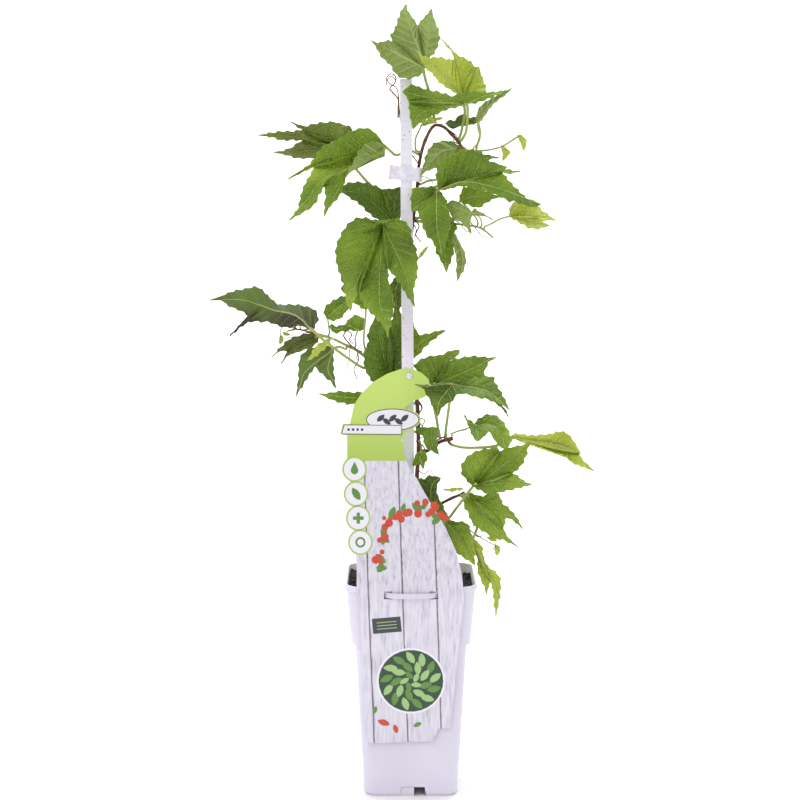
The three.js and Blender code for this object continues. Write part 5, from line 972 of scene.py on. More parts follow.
# The leaves: maple-like blades of one to three toothed lobes on long stalks, thin and glossy
# above and dull below. Ribs fan from the joint with the stalk, and veins leave them at a slant.
# Each row gives the shoot, the face that is seen from the front, the age and the middles of bent
# ribs, then the stalk from the shoot to the joint, and then each lobe's edge in two stretches, up
# to its tip and down to the next notch.
LEAVES = {
    "leaf_top": ("main", "under", "green", {},
     [(23, 627.5, -4), (19, 645.5, -1), (16.5, 657, 3), (13.5, 667, 9), (11, 676, 13)], [
     [(8, 671, 14), (-3.5, 668, 13), (-13, 671, 12), (-19.5, 681, 14), (-27, 687.5, 18),
      (-31.5, 695.5, 23), (-38, 704, 30)], [(-30, 701.5, 22), (-23, 703.5, 16), (-17.5, 702.5, 9)],
     [(-18.5, 709, 7), (-15, 714, 4), (-12, 723.5, -2), (-8.5, 732, -8), (-4.5, 738, -14)],
      [(-3, 730.5, -9), (2, 723.5, -7), (6, 717, -6)],
     [(9.5, 722, -9), (15, 728, -15), (19, 733.5, -20)], [(21, 724.5, -17), (24.5, 716, -14),
      (26.5, 707, -10), (24.5, 697, -4), (19.5, 689.5, 3), (15, 684.5, 9)]]),
    "leaf_top_bright": ("main", "upper", "bright", {},
     [(43.5, 612, -4), (47.5, 622, -7), (50, 637, -8), (48.5, 651, -4)], [
     [(41, 655.5, 2), (31.5, 661, 6), (24.5, 666.5, 11), (21.5, 671, 13), (14, 678, 17),
      (9.5, 685.5, 18), (5.5, 694.5, 19)], [(12, 689, 15), (17.5, 687.5, 11), (27.5, 688, 5),
      (34.5, 686, 0), (40, 686, -4)],
     [(39, 691.5, -5), (33.5, 698, -4), (27, 707, -5)], [(34.5, 699, -6), (41.5, 691.5, -7),
      (47.5, 688, -10), (55, 684.5, -14), (59.5, 679, -16)],
     [(63.5, 679.5, -18)], [(66.5, 669, -16), (69, 662.5, -12), (70, 655, -7), (64, 650, -4),
      (56, 648, -4)]]),
    "leaf_top_front": ("main", "upper", "green", {},
     [(46.5, 610.5, 2), (51, 618.5, 4), (52.5, 631.5, 4), (52, 644.5, 7)], [
     [(60, 645.5, 8), (71, 649, 13), (80, 653, 18), (93, 658.5, 24)], [(79, 656, 15), (66.5, 655.5, 9),
      (53, 656.5, 5), (38, 651.5, 7)],
     [(27, 655.5, 7), (17.5, 657.5, 10), (9.5, 659.5, 13), (1, 662.5, 18), (-8, 656, 24)],
      [(-4.5, 652, 23), (-2, 646.5, 22)],
     [(-1.5, 639, 25), (0, 628.5, 28), (2, 620.5, 30)], [(6.5, 625, 27), (14, 631, 22),
      (22.5, 634.5, 18), (35.5, 640, 12), (43.5, 641.5, 9)]]),
    "leaf_top_dark": ("main", "upper", "dark", {},
     [(58.5, 602.5, -6), (63.5, 610, -10), (64.5, 619.5, -12), (61.5, 628.5, -9)], [
     [(55, 625, -9), (46.5, 624.5, -11), (39, 621, -14)], [(35, 623, -16)],
     [(31.5, 626.5, -20)], [(36.5, 630, -18), (41.5, 629, -16), (43.5, 633, -16), (47, 635, -15),
      (51.5, 633, -13), (56.5, 632, -11), (60.5, 631.5, -10)]]),
    "leaf_top_pale": ("main", "under", "green", {},
     [(61, 604, 2), (62.5, 609, 3), (64, 616, 3), (62.5, 622, 0.5), (62.5, 628, -2)], [
     [(60.5, 632, -2.5), (64, 642, -2), (71.5, 648, -6), (81, 653.5, -14), (95, 660, -30)],
      [(89, 654, -27), (83, 649.5, -23), (76, 644, -17), (71.5, 638.5, -11), (67.5, 631.5, -6)]]),
    "leaf_left_front": ("main", "upper", "green",
     {0: [(-50, 600.5, 14), (-84, 590, 19)], 1: [(-60, 588, 23), (-84, 574.5, 30), (-97, 556, 38)],
      2: [(-31, 600.5, 13), (-43, 592.5, 21), (-57, 582, 28), (-70, 562, 36)]},
     [(6.5, 598, -10), (0, 601, -12), (-7.5, 599, -11), (-14, 597, -6), (-19.5, 601, 1),
      (-24.5, 604.5, 9)], [
     [(-31.5, 613, 8), (-34, 618.5, 8), (-42, 622, 8), (-53.5, 620, 10), (-67, 612, 12),
      (-82, 604.5, 16), (-87.5, 598, 18), (-93, 590, 19), (-100.5, 584, 18), (-116, 574, 14)],
      [(-101.5, 581, 20), (-90, 586, 24)],
     [(-92.5, 581, 26), (-100, 567, 33), (-103.5, 555, 38), (-105.5, 547, 40), (-115, 535, 44)],
      [(-104, 541.5, 43), (-96.5, 546, 42), (-90, 551, 40), (-85.5, 560, 37), (-81, 568.5, 34)],
     [(-79.5, 560.5, 38), (-80.5, 550, 43), (-81, 539.5, 48)], [(-76.5, 547.5, 44), (-69.5, 555.5, 40),
      (-64.5, 563, 36), (-62, 571.5, 33), (-59.5, 580.5, 34), (-54.5, 589.5, 35), (-49.5, 599.5, 32),
      (-41, 608, 25), (-31.5, 609.5, 17)]]),
    "leaf_left_back": ("main", "upper", "bronze", {},
     [(3, 550.5, -8), (0, 549.5, -20), (-8, 549.5, -28), (-20, 554, -29), (-32, 564, -24),
      (-42.5, 574, -13), (-52.5, 586, -6), (-60.5, 599, -6), (-66, 605.5, -8)], [
     [(-56, 611, -12), (-54, 619.5, -14), (-58, 624, -14), (-64.5, 625.5, -14), (-69.5, 627.5, -13),
      (-77.5, 627.5, -12), (-87.5, 626.5, -10), (-99.5, 624, -7), (-113, 629, -2)], [(-104, 622, -5),
      (-100.5, 620.5, -6)],
     [(-111.5, 619, -4), (-120.5, 619, -2), (-143.5, 615.5, 3)], [(-129.5, 613.5, 1), (-121, 611, -1),
      (-111.5, 611, -2), (-101, 610.5, -5)],
     [(-107, 607, -3), (-114.5, 602.5, 0), (-128.5, 599.5, 6)], [(-115.5, 597, 4), (-107, 594.5, 4),
      (-98.5, 594, 3), (-91, 595, 2), (-81, 596, -2), (-72.5, 599, -6)]]),
    "leaf_behind_stake": ("main", "upper", "dark", {},
     [(-1, 524.5, -8.5), (-8.5, 530, -16), (-16, 535.5, -14)], [
     [(-23, 533.5, -11), (-31.5, 537.5, -9), (-39.5, 543.5, -7), (-47.5, 551.5, -4),
      (-55.5, 556.5, -2), (-64.5, 562.5, 1)], [(-63, 568.5, -1), (-55.5, 571.5, -4), (-45, 571.5, -8),
      (-35, 569, -12), (-27, 565.5, -14)],
     [(-22.5, 565.5, -16), (-16.5, 566, -18), (-8, 567.5, -21)], [(-5, 558, -20), (-5.5, 548, -18),
      (-10, 539.5, -16)]]),
    "leaf_centre_large": ("main", "upper", "green", {},
     [(-2, 516, -9.5), (-10, 518, -10), (-19.5, 523.5, 4), (-25, 530, 19), (-26.5, 534, 29)], [
     [(-35, 537, 27), (-43, 538.5, 25), (-49.5, 538.5, 23), (-56.5, 534.5, 22), (-62, 528.5, 22),
      (-67.5, 518, 23), (-70, 509.5, 24), (-69, 495.5, 28), (-65, 482.5, 34), (-61.5, 469.5, 39),
      (-60.5, 462, 42), (-56.5, 451, 46)], [(-53.5, 460.5, 46), (-48.5, 469.5, 47)],
     [(-44.5, 460.5, 49), (-39.5, 452.5, 51), (-33.5, 446.5, 51), (-26, 438, 52), (-21.5, 426, 52)],
      [(-20, 435, 53), (-18, 444.5, 54), (-16, 455, 55), (-17, 466.5, 54), (-20.5, 477.5, 51),
      (-21.5, 491.5, 47)],
     [(-15, 484, 49), (-9, 476, 49), (-4.5, 468.5, 47), (4, 455, 44)], [(2.5, 471.5, 38),
      (5.5, 483.5, 32), (6, 493.5, 28), (5.5, 507, 24), (1, 520, 20), (-1, 529.5, 19),
      (-8.5, 536.5, 21), (-15, 538, 24), (-20.5, 537, 27)]]),
    "leaf_right_under": ("main", "under", "green", {},
     [(50, 601, -4), (47.5, 601, -3.5)], [
     [(43, 606.5, -6), (34.5, 610, -6), (25, 609, -4), (20, 606.5, -2), (14.5, 598.5, 2),
      (11.5, 587.5, 7), (8, 576, 12)], [(14.5, 582, 10), (22, 584.5, 8), (30, 586, 5), (38, 590.5, 1),
      (43.5, 595, -2)]]),
    "leaf_right_large": ("main", "upper", "green", {1: [(48, 572.5, 22), (75, 568, 31)]},
     [(6, 559, -6), (14, 563, -3), (24, 568, -1), (30, 568.5, 4), (29.5, 566.5, 9.5), (27, 565, 15)], [
     [(24.5, 571.5, 18), (23.5, 579.5, 21), (25, 585.5, 22), (30, 592.5, 21), (38, 597, 19),
      (46, 600.5, 17), (56, 602, 16), (64.5, 600, 18), (70.5, 593, 22), (78, 590, 26),
      (89.5, 586, 31)], [(84.5, 581, 29)],
     [(90.5, 574, 31), (96, 568, 34), (102.5, 561.5, 37), (109.5, 555.5, 40), (122, 551.5, 46)],
      [(115, 548.5, 45), (105.5, 550.5, 43), (96.5, 554, 40), (91.5, 554, 39), (83.5, 558, 36),
      (74.5, 561.5, 33), (60.5, 565.5, 27), (49.5, 568, 22), (37, 566.5, 17)]]),
    "leaf_right_behind": ("main", "upper", "green", {},
     [(55, 599, -7), (51, 594.5, -12), (47.5, 589.5, -12)], [
     [(51, 595, -14), (62.5, 598.5, -16), (71.5, 597, -18), (83.5, 594.5, -22)], [(73.5, 593, -18),
      (68, 590.5, -14)],
     [(81, 586, -16), (90, 583.5, -18), (103.5, 581.5, -22)], [(92, 580, -16), (83, 580.5, -12),
      (71.5, 578.5, -8), (58.5, 579.5, -8), (50, 583, -10)]]),
    "leaf_right_hanging": ("main", "upper", "green", {},
     [(5, 548, -6), (12, 550.5, -3), (18.5, 557, 3), (24, 563.5, 10.5)], [
     [(21, 567, 11), (17, 568, 10), (12, 566.5, 9), (5, 567, 9), (1.5, 564.5, 9), (0, 556.5, 10),
      (0.5, 544.5, 12)], [(6, 545, 13)],
     [(9, 537, 15), (12.5, 527, 18), (15.5, 521, 20), (20.5, 516.5, 22), (24.5, 508.5, 25),
      (28.5, 503, 28)], [(30.5, 511, 25), (34, 522, 20), (36.5, 531, 15), (37, 537.5, 12),
      (35.5, 545.5, 9), (32.5, 554.5, 9), (28.5, 561.5, 10)]]),
    "leaf_right_low": ("main", "upper", "green", {},
     [(4, 538.5, -6), (13, 540.5, -10), (21.5, 545, -11), (29, 544, -9)], [
     [(23, 537.5, -8), (19.5, 526.5, -6), (22, 514, -3), (24.5, 505, 0), (28.5, 498, 2), (33, 487, 5)],
      [(35.5, 494, 2), (38, 501, 0), (40, 509.5, -3), (38.5, 520, -5), (42.5, 529, -7),
      (39.5, 536.5, -9), (34.5, 542.5, -10)]]),
    "leaf_right_pale": ("right_twig", "under", "green", {},
     [(32.5, 530, -15), (37.5, 524, -15)], [
     [(36.5, 520, -10), (39, 513, -7), (41.5, 505, -5), (42.5, 496, -3), (42, 489, -3), (43, 479, -4)],
      [(47.5, 488, -9), (50.5, 495, -12), (50.5, 503, -15), (48.5, 509, -17), (45, 515, -18),
      (42, 521.5, -18)]]),
    "leaf_right_small": ("right_twig", "upper", "green", {},
     [(61.5, 531.5, -6), (60.5, 538.5, -10), (53.5, 546.5, -12), (47, 554, -8)], [
     [(45.5, 559, -8), (47, 564, -8), (52, 567.5, -9), (66, 564.5, -6), (83.5, 558, -1)],
      [(76.5, 556, -1), (70.5, 553, -1), (62.5, 548, -2), (55.5, 550, -4), (50.5, 551.5, -6)]]),
    "leaf_right_twig": ("right_twig", "under", "green", {},
     [(66, 532, -4.5), (64.5, 538, -2), (60.5, 541.5, 1), (55.5, 542.5, 2)], [
     [(58, 547, -1), (66, 543, 1), (78, 536, 6)], [(68, 540, 4), (58.5, 541.5, 3)],
     [(55.5, 537.5, 4), (56, 523, 8)], [(50, 531, 6), (44, 536, 4), (39, 537, 2)],
     [(33, 551.5, -3)], [(39, 555, -5), (46.5, 551.5, -4), (52, 548, -2)]]),
    "leaf_right_light": ("right_twig", "upper", "bright", {},
     [(68.5, 530, -5), (73.5, 532.5, -3), (83, 537.5, 0), (93, 540.5, 2)], [
     [(92, 545, 0), (92.5, 549.5, -2), (96, 553, -3), (103, 554.5, -4), (112, 556, -5),
      (118, 549.5, -1), (124, 544, 4), (136, 536, 12)], [(128.5, 536.5, 11), (123.5, 536, 11),
      (118.5, 539, 9)],
     [(123, 535, 12), (129.5, 531.5, 16)], [(121, 529, 15), (114, 528.5, 14), (109.5, 529.5, 13),
      (104.5, 532, 10), (98.5, 535.5, 6)]]),
    "leaf_left_far": ("left_shoot", "under", "bronze",
     {0: [(-110, 447, 24), (-132, 452, 33), (-156, 461, 43)]},
     [(-37, 396.5, -11), (-43.5, 399, -6), (-56.5, 406.5, 6), (-75.5, 420.5, 22), (-84, 427, 25),
      (-92.5, 434, 26)], [
     [(-89, 438, 20), (-86.5, 446.5, 14), (-89, 452.5, 12), (-99.5, 456.5, 11), (-108, 457.5, 13),
      (-115.5, 457.5, 16), (-123, 457.5, 20), (-131, 463.5, 26), (-139, 472, 33), (-144.5, 474.5, 37),
      (-154.5, 472.5, 41), (-165, 470.5, 46), (-176.5, 466, 52), (-189, 462, 58)],
      [(-176.5, 461.5, 54), (-169.5, 456.5, 51), (-162, 453.5, 48), (-154, 449.5, 45),
      (-150.5, 445, 43), (-157, 440, 45), (-169, 428, 50), (-156, 439, 44), (-148.5, 442, 42),
      (-139.5, 442, 39), (-131.5, 441.5, 37), (-123.5, 438.5, 35), (-114.5, 436.5, 32),
      (-106, 439.5, 29), (-99.5, 437, 26)]]),
    "leaf_left_low": ("left_shoot", "upper", "bronze", {},
     [(-74.5, 426.5, 6.5), (-80, 428, 10), (-87, 428.5, 14)], [
     [(-93, 431.5, 13), (-101.5, 429.5, 13), (-111, 427, 14), (-115.5, 424, 15), (-121.5, 418, 17),
      (-131.5, 407.5, 22)], [(-121, 415, 19), (-115.5, 414.5, 19)],
     [(-118, 408.5, 21), (-121.5, 402, 25)], [(-112.5, 412, 21), (-109, 412, 20), (-104.5, 414, 19),
      (-98.5, 416, 18), (-92, 418, 17), (-87.5, 423, 16)]]),
    "leaf_left_hanging": ("left_shoot", "under", "bronze", {},
     [(-60.5, 417, 0), (-66, 418.5, 3), (-73.5, 417, 7)], [
     [(-83, 419, 8), (-91, 418, 11), (-97.5, 415, 13), (-103, 409, 16), (-104.5, 400, 18),
      (-105, 388, 20), (-107.5, 371.5, 23)], [(-103.5, 378.5, 21), (-98.5, 386, 18),
      (-93.5, 394.5, 14), (-89.5, 400.5, 10)],
     [(-86, 396.5, 8), (-82, 392.5, 6), (-75.5, 387, 3), (-69.5, 379, 0)], [(-71.5, 389.5, 0),
      (-72.5, 401, 1), (-72.5, 411.5, 4)]]),
    "leaf_left_lime": ("left_shoot", "upper", "bright", {},
     [(-72.5, 426, 7), (-74, 426, 12), (-75.5, 425.5, 16)], [
     [(-80, 424.5, 17), (-87.5, 419.5, 20), (-97, 405.5, 25)], [(-89.5, 409, 24), (-83, 415, 21),
      (-76.5, 421, 18)]]),
    "leaf_left_veined": ("left_shoot", "upper", "green", {},
     [(-76.5, 429.5, 3.5), (-76.5, 438, 3), (-77, 446.5, 3)], [
     [(-80, 448.5, 4), (-81, 452.5, 4), (-78.5, 457, 2), (-74, 460.5, -1), (-69, 463.5, -4),
      (-62.5, 466, -8), (-55, 464, -10)], [(-56.5, 458.5, -6), (-58.5, 454, -2), (-62.5, 448.5, 2),
      (-66.5, 445, 5), (-71.5, 443, 6), (-75.5, 444, 5)]]),
    "leaf_left_wavy": ("left_shoot", "upper", "green", {},
     [(-52, 418, -3), (-52, 426, -3), (-50.5, 431, -2), (-49.5, 434.5, 0)], [
     [(-56.5, 434, 1), (-64, 433, 3), (-71.5, 431.5, 6), (-76, 437.5, 9)], [(-74, 440, 8),
      (-70, 438, 5), (-64, 438.5, 3), (-59, 442, 0), (-56, 446, -3), (-52, 448, -5), (-46.5, 447, -7),
      (-43.5, 443.5, -8), (-43, 439, -7), (-45.5, 434, -3)]]),
    "leaf_left_tucked": ("left_shoot", "upper", "green", {},
     [(-43.5, 412, -6), (-44, 424, -4), (-43, 438, 1), (-42, 451, 5), (-42, 455.5, 8)], [
     [(-45.5, 454.5, 9), (-52, 459, 11), (-57.5, 464, 13), (-65.5, 472.5, 16)], [(-60.5, 479, 12),
      (-56.5, 481.5, 9)],
     [(-55, 490, 5), (-45.5, 503, 0)], [(-38, 494, 0), (-32.5, 481, 1), (-31.5, 468, 4),
      (-36.5, 457.5, 7)]]),
    "leaf_left_label": ("main", "upper", "green", {},
     [(3.5, 366.5, -11.5), (-8.5, 368.5, -13), (-21.5, 370.5, -10)], [
     [(-34.5, 378, -8), (-47.5, 376.5, -5), (-58.5, 376.5, -2), (-66, 377.5, 0), (-77.5, 375.5, 2),
      (-87.5, 375.5, 5)], [(-78.5, 371.5, 4), (-70, 368, 2), (-61.5, 366, 0), (-54, 365, -3),
      (-43, 363.5, -6), (-31.5, 364.5, -9)]]),
    "leaf_dark": ("main", "upper", "dark", {},
     [(1, 381, -11), (-5, 378, -13), (-11, 378.5, -13), (-17.5, 385, -11)], [
     [(-29, 382, -6), (-36.5, 387.5, -3), (-41.5, 396, 0), (-43.5, 406.5, 1), (-42, 415.5, 1),
      (-39.5, 424, 0), (-40.5, 428, 0), (-39, 434, -1), (-36, 440.5, -3), (-32.5, 448.5, -5)],
      [(-28, 443.5, -7), (-21, 436, -11)],
     [(-17.5, 443.5, -14), (-11, 454, -18)], [(-7, 443.5, -18), (-5, 429.5, -17.5),
      (-5.5, 415.5, -15.5), (-7.5, 401, -12), (-12, 389.5, -11)]]),
    "leaf_centre_small": ("main", "upper", "green", {},
     [(-9, 485, -9), (-10, 481, -5)], [
     [(-16, 481.5, -4), (-20, 473.5, -2), (-18.5, 461.5, 0), (-13, 446, 1)], [(-9.5, 455.5, -3.5),
      (-7, 469.5, -6.5), (-7.5, 478, -6.5)]]),
    "leaf_right_stake": ("main", "upper", "green", {},
     [(-1.5, 401, -10), (-2, 407.5, -11), (-2.5, 413.5, -11)], [
     [(-7.5, 420.5, -10.5), (-6.5, 431.5, -12), (-3.5, 439, -13), (1, 444.5, -12)], [(4.5, 435, -12),
      (8, 429.5, -11)],
     [(18, 431.5, -8), (27, 434, -5), (33, 434, -2)], [(24.5, 428, -5), (18, 423, -8),
      (10.5, 415.5, -10), (3.5, 408.5, -11)]]),
    "leaf_mid_back": ("mid_shoot", "upper", "green",
     {2: [(43, 385.5, -2), (65, 379, 5), (79, 368.5, 11)]},
     [(27, 334.5, -9), (24, 350.5, -12), (20.5, 369, -8), (20.5, 384, -3)], [
     [(13, 387.5, -3), (6, 395, -5), (4, 402, -7), (8.5, 406.5, -9), (18, 410, -11), (27.5, 411, -12),
      (37, 415, -14), (45.5, 416.5, -17)], [(44, 411, -14), (35, 405.5, -9)],
     [(44.5, 408, -9), (58.5, 410, -8), (68, 409, -7), (80.5, 409, -6)], [(73, 405, -4),
      (69.5, 399, -1), (68, 392.5, 1), (70, 385, 3)],
     [(79, 374, 10), (94, 349, 22)], [(83.5, 362.5, 14), (71.5, 370, 8), (58.5, 375, 3),
      (45.5, 379.5, 1), (32.5, 382, -1)]]),
    "leaf_mid_front": ("mid_shoot", "upper", "green", {},
     [(32, 336, -5), (33.5, 349.5, -1), (36, 367, 3), (37.5, 376.5, 9), (38, 384.5, 15)], [
     [(45.5, 387.5, 15), (53, 388.5, 14), (61, 390, 13), (69, 391, 14), (76, 391, 16), (78, 386, 20),
      (81.5, 380.5, 26), (84.5, 375, 31), (88.5, 367.5, 37), (92, 359.5, 43)], [(83.5, 366, 39),
      (77.5, 368, 37), (71.5, 370, 35), (63.5, 371.5, 32), (56, 373.5, 30), (49, 375.5, 27),
      (42.5, 374.5, 26)],
     [(38, 368.5, 27), (30.5, 364, 29), (25, 353.5, 35)], [(21.5, 360.5, 32), (17, 370, 28),
      (14, 375.5, 26), (11.5, 380, 25)],
     [(3.5, 384, 26)], [(13.5, 383, 23), (27.5, 383, 18)]]),
    "leaf_mid_heart": ("mid_shoot", "upper", "dark", {},
     [(24, 329, -4), (23.5, 336, 0), (19.5, 342.5, 6)], [
     [(10, 342, 6), (3.5, 343, 6), (8.5, 338, 9), (12, 333, 11), (12.5, 327.5, 13), (15.5, 324, 14),
      (26, 318, 20)], [(25, 324, 17), (24, 331, 13), (24.5, 342.5, 7)]]),
    "leaf_mid_small": ("main", "upper", "green", {},
     [(7.5, 331, -7), (9.5, 326.5, -1), (9.5, 321, 4.5)], [
     [(5, 318.5, 6), (3, 315.5, 6.5), (2.5, 308, 7.5), (8.5, 309.5, 7), (11, 304, 8)], [(14, 312, 7),
      (15.5, 315.5, 6), (13.5, 320.5, 5)]]),
    "leaf_right_curled": ("mid_shoot", "upper", "green", {0: [(70, 348.5, 2), (84, 342, 5)]},
     [(38, 337, -6), (43, 340, -6), (50, 342, -4), (60.5, 346, 2)], [
     [(64, 352.5, -2), (70.5, 355.5, -5), (79, 354.5, -5), (85, 349.5, -2), (91, 340, 4),
      (93.5, 332.5, 9), (91, 326, 13), (87, 323.5, 16)], [(81, 327.5, 15), (76.5, 334.5, 13),
      (73, 340.5, 11)],
     [(69, 336.5, 13), (65.5, 333, 15), (61, 331, 18)], [(56, 338, 13), (55, 342, 9)],
     [(49, 356.5, 0)], [(53, 351.5, 1), (57, 349.5, 2)]]),
    "leaf_right_long": ("mid_shoot", "upper", "bright", {},
     [(36, 329, -8), (45.5, 325.5, -8), (64, 325, -7), (80, 327, -7), (88.5, 331, -6), (94, 335, -5)], [
     [(98.5, 338, -7), (108, 336.5, -11), (120, 336.5, -18), (131, 338, -26), (139, 340, -34),
      (145.5, 338, -38), (150.5, 332.5, -41), (155, 325, -43), (159.5, 318.5, -45)],
      [(156.5, 320, -39)],
     [(158.5, 315.5, -41), (163.5, 310, -45), (172, 302, -52)], [(159.5, 307, -39),
      (149.5, 311.5, -31), (144, 317, -25), (136.5, 319.5, -21), (127.5, 322.5, -15), (119, 325, -10),
      (112.5, 328.5, -8), (105, 331, -6)]]),
    "leaf_right_broad": ("main", "upper", "green", {},
     [(12, 251, -10), (21.5, 252.5, -10), (29, 255, -8.5), (34.5, 258.5, -6), (41, 267, -2),
      (47.5, 275.5, 0), (59, 290.5, 6)], [
     [(52, 294.5, 4), (47, 301.5, 2), (47, 308, 0), (51.5, 315.5, -2), (57.5, 320, -4),
      (65.5, 323, -6), (72.5, 324, -8), (80, 326, -10)], [(82.5, 321.5, -4)],
     [(90.5, 325, -4), (100.5, 326.5, -3), (112, 330.5, -2)], [(108.5, 323, -2), (106, 314, -2),
      (101.5, 307, 1), (94.5, 301, 4)],
     [(99, 299, 6), (105, 294, 10), (113.5, 290.5, 15)], [(103.5, 288.5, 14), (94, 286, 13),
      (84.5, 284, 13), (77.5, 282.5, 13), (70.5, 282.5, 12), (64, 285.5, 9)]]),
    "leaf_right_lower": ("low_shoot", "upper", "green", {},
     [(46.5, 280.5, -7.5), (49.5, 281, -6.5), (52, 281, -4.5)], [
     [(48.5, 276, -3), (50, 269.5, -1), (54, 263, 1), (56, 256.5, 3), (62.5, 250.5, 5),
      (71.5, 244.5, 6), (77.5, 241, 7), (87.5, 238.5, 9), (101, 231.5, 13)], [(90.5, 241.5, 7),
      (86, 250, 1)],
     [(89.5, 259.5, -7), (96.5, 256, -13), (105, 248, -19)], [(98.5, 260, -15), (92.5, 267, -12),
      (84.5, 274.5, -9), (82, 281.5, -7), (73, 282, -5), (65, 279.5, -4), (58, 282, -4)]]),
    "leaf_low_label": ("main", "upper", "green", {},
     [(8.5, 273.5, -7), (12.5, 271, -2), (18.5, 267.5, 7)], [
     [(13, 276, 10), (6.5, 285.5, 9), (4, 296.5, 10), (11, 295.5, 12), (15, 298, 12), (23, 298.5, 13),
      (28, 296.5, 14)], [(24.5, 290, 13), (24.5, 282, 13), (27, 275.5, 14)],
     [(31.5, 266.5, 15), (36.5, 257.5, 17), (43.5, 256, 19), (51.5, 255, 21), (55.5, 246.5, 24),
      (58, 233.5, 29), (60, 214.5, 36)], [(53, 220, 32), (45.5, 225, 27), (36.5, 233.5, 22),
      (28, 246.5, 15), (21, 258.5, 10)]]),
    "leaf_low_hanging": ("low_shoot", "upper", "bright", {},
     [(52, 282, -11), (57, 274, -12), (61, 262, -9), (61.5, 251, -4), (59.5, 244.5, 0), (58, 239.5, 4)], [
     [(56.5, 233.5, 6), (59.5, 226, 10), (62, 220.5, 12), (61.5, 214, 14), (63.5, 205.5, 17),
      (67.5, 197, 20), (70, 187, 24)], [(72, 194.5, 22), (74, 200.5, 20)],
     [(76, 195.5, 21), (77, 183, 25), (79, 166, 30)], [(81.5, 179, 26), (83, 190.5, 20),
      (83, 203.5, 15), (78.5, 209.5, 12), (73, 213, 10), (68, 219.5, 8), (67, 228, 5), (65.5, 234, 4),
      (61.5, 238, 3)]]),
    "leaf_back_high": ("main", "under", "green", {},
     [(-7, 493, -14.5), (-11, 497.5, -24), (-17.5, 501.5, -32)], [
     [(-12, 508.5, -33), (-12, 520, -40), (-21.5, 529, -50)], [(-27, 518, -46)],
     [(-42, 525.5, -52), (-56.5, 523.5, -62)], [(-55, 510.5, -54), (-51, 503, -48)],
     [(-57.5, 492, -52), (-58.5, 479, -60)], [(-45.5, 479, -52), (-32.5, 484.5, -44), (-23, 492, -36)]]),
    "leaf_back_right": ("main", "under", "green", {},
     [(7.5, 570, -7.5), (16, 573, -16), (29, 574.5, -26)], [
     [(28, 582, -30), (32.5, 590.5, -38), (42, 595, -48)], [(47.5, 588.5, -44)],
     [(58.5, 594.5, -52), (73.5, 588.5, -63)], [(68, 581, -54), (58.5, 577.5, -46)],
     [(64, 571, -50), (68, 567, -58)], [(55, 568, -46), (43.5, 569, -38), (34.5, 570, -30)]]),
    "leaf_back_mid": ("main", "under", "green", {},
     [(-3.5, 408.5, -21.5), (3, 401, -28), (12, 395, -34)], [
     [(10, 402, -38), (16, 405.5, -44), (27, 408.5, -52)], [(30.5, 402.5, -48)],
     [(43.5, 405.5, -54), (60.5, 402.5, -63)], [(51, 395, -54), (42, 389.5, -48)],
     [(45.5, 382, -52), (47.5, 377.5, -58)], [(32.5, 379.5, -48), (21.5, 384, -40)]]),
    "leaf_back_label": ("main", "under", "green", {},
     [(3.5, 339.5, -11), (-5.5, 335.5, -20), (-15, 332, -28)], [
     [(-16.5, 340.5, -32), (-25, 349, -40), (-36.5, 356, -50)], [(-37, 341.5, -46)],
     [(-47.5, 335.5, -54), (-55, 321, -64)], [(-45.5, 317, -54), (-34.5, 313.5, -46)],
     [(-33.5, 302, -52), (-31, 288, -62)], [(-21.5, 301, -46), (-12, 313.5, -36), (-10, 323.5, -30)]]),
    "leaf_back_low": ("main", "under", "green", {},
     [(3.5, 274.5, -9), (-4.5, 276, -18), (-13, 274.5, -26)], [
     [(-12, 281, -30), (-15, 287, -36), (-22, 293, -44)], [(-27, 281, -42)],
     [(-40, 283, -53), (-51, 274, -64)], [(-43, 265, -54), (-34.5, 258, -46)],
     [(-36.5, 246.5, -50), (-34.5, 231.5, -60)], [(-23, 241, -48), (-14, 252, -38), (-10, 265, -30)]]),
}
RIB_VALLEY = 0.2
VEIN_SLANT = 0.8
EDGE_SAMPLES = 60
SINUS_SET_BACK = 2.5
BLADE_THICKNESS = 0.5
TOOTH_SPACING = 9
TOOTH_DEPTH = 2.1
VEIN_SPACING = 8
ROW_WIDTH = 3.2
STATION_LENGTH = 2.6
SEAT_ON_STALK = 0.3
STALK_SHARE = 1 / 55
STALK_RADII = (0.7, 1.2)
STALK_LEAD = 2.2
STALK_GAP = 0.05
JOINT_REACH = 6
TOOTH_STEPS = (0, 0.2, 0.4, 0.58, 0.7, 0.86)
QUILT_HEIGHT = 1.7
QUILT_DROP = 0.55
QUILT_FULL_WIDTH = 20
ARCH = 0.035
WAVE_HEIGHT = 0.5
WAVE_LENGTH = 16
WAVE_FULL_REACH = 60


def vein_feet(edge, rib):
    """The share of the rib at which the vein leaves that ends at each sample of the edge."""
    rib_points = [rib.at(step / EDGE_SAMPLES) for step in range(EDGE_SAMPLES + 1)]
    foot = 0
    feet = []
    for sample in range(EDGE_SAMPLES):
        point = edge.at(sample / EDGE_SAMPLES)
        gap, nearest = min(((rib_point - point).length, i) for i, rib_point in enumerate(rib_points))
        foot = max(foot, nearest / EDGE_SAMPLES - VEIN_SLANT * gap / rib.length)
        feet.append(min(foot, 1 - 1 / EDGE_SAMPLES))
    return feet + [1]


def vein_end(feet, share):
    """How far along its edge, from notch to tip, a vein ends that leaves the rib at a share."""
    after = bisect_right(feet, share)
    if after == 0 or after > EDGE_SAMPLES:
        return 0 if after == 0 else 1
    return (after - 1 + (share - feet[after - 1]) / (feet[after] - feet[after - 1])) / EDGE_SAMPLES


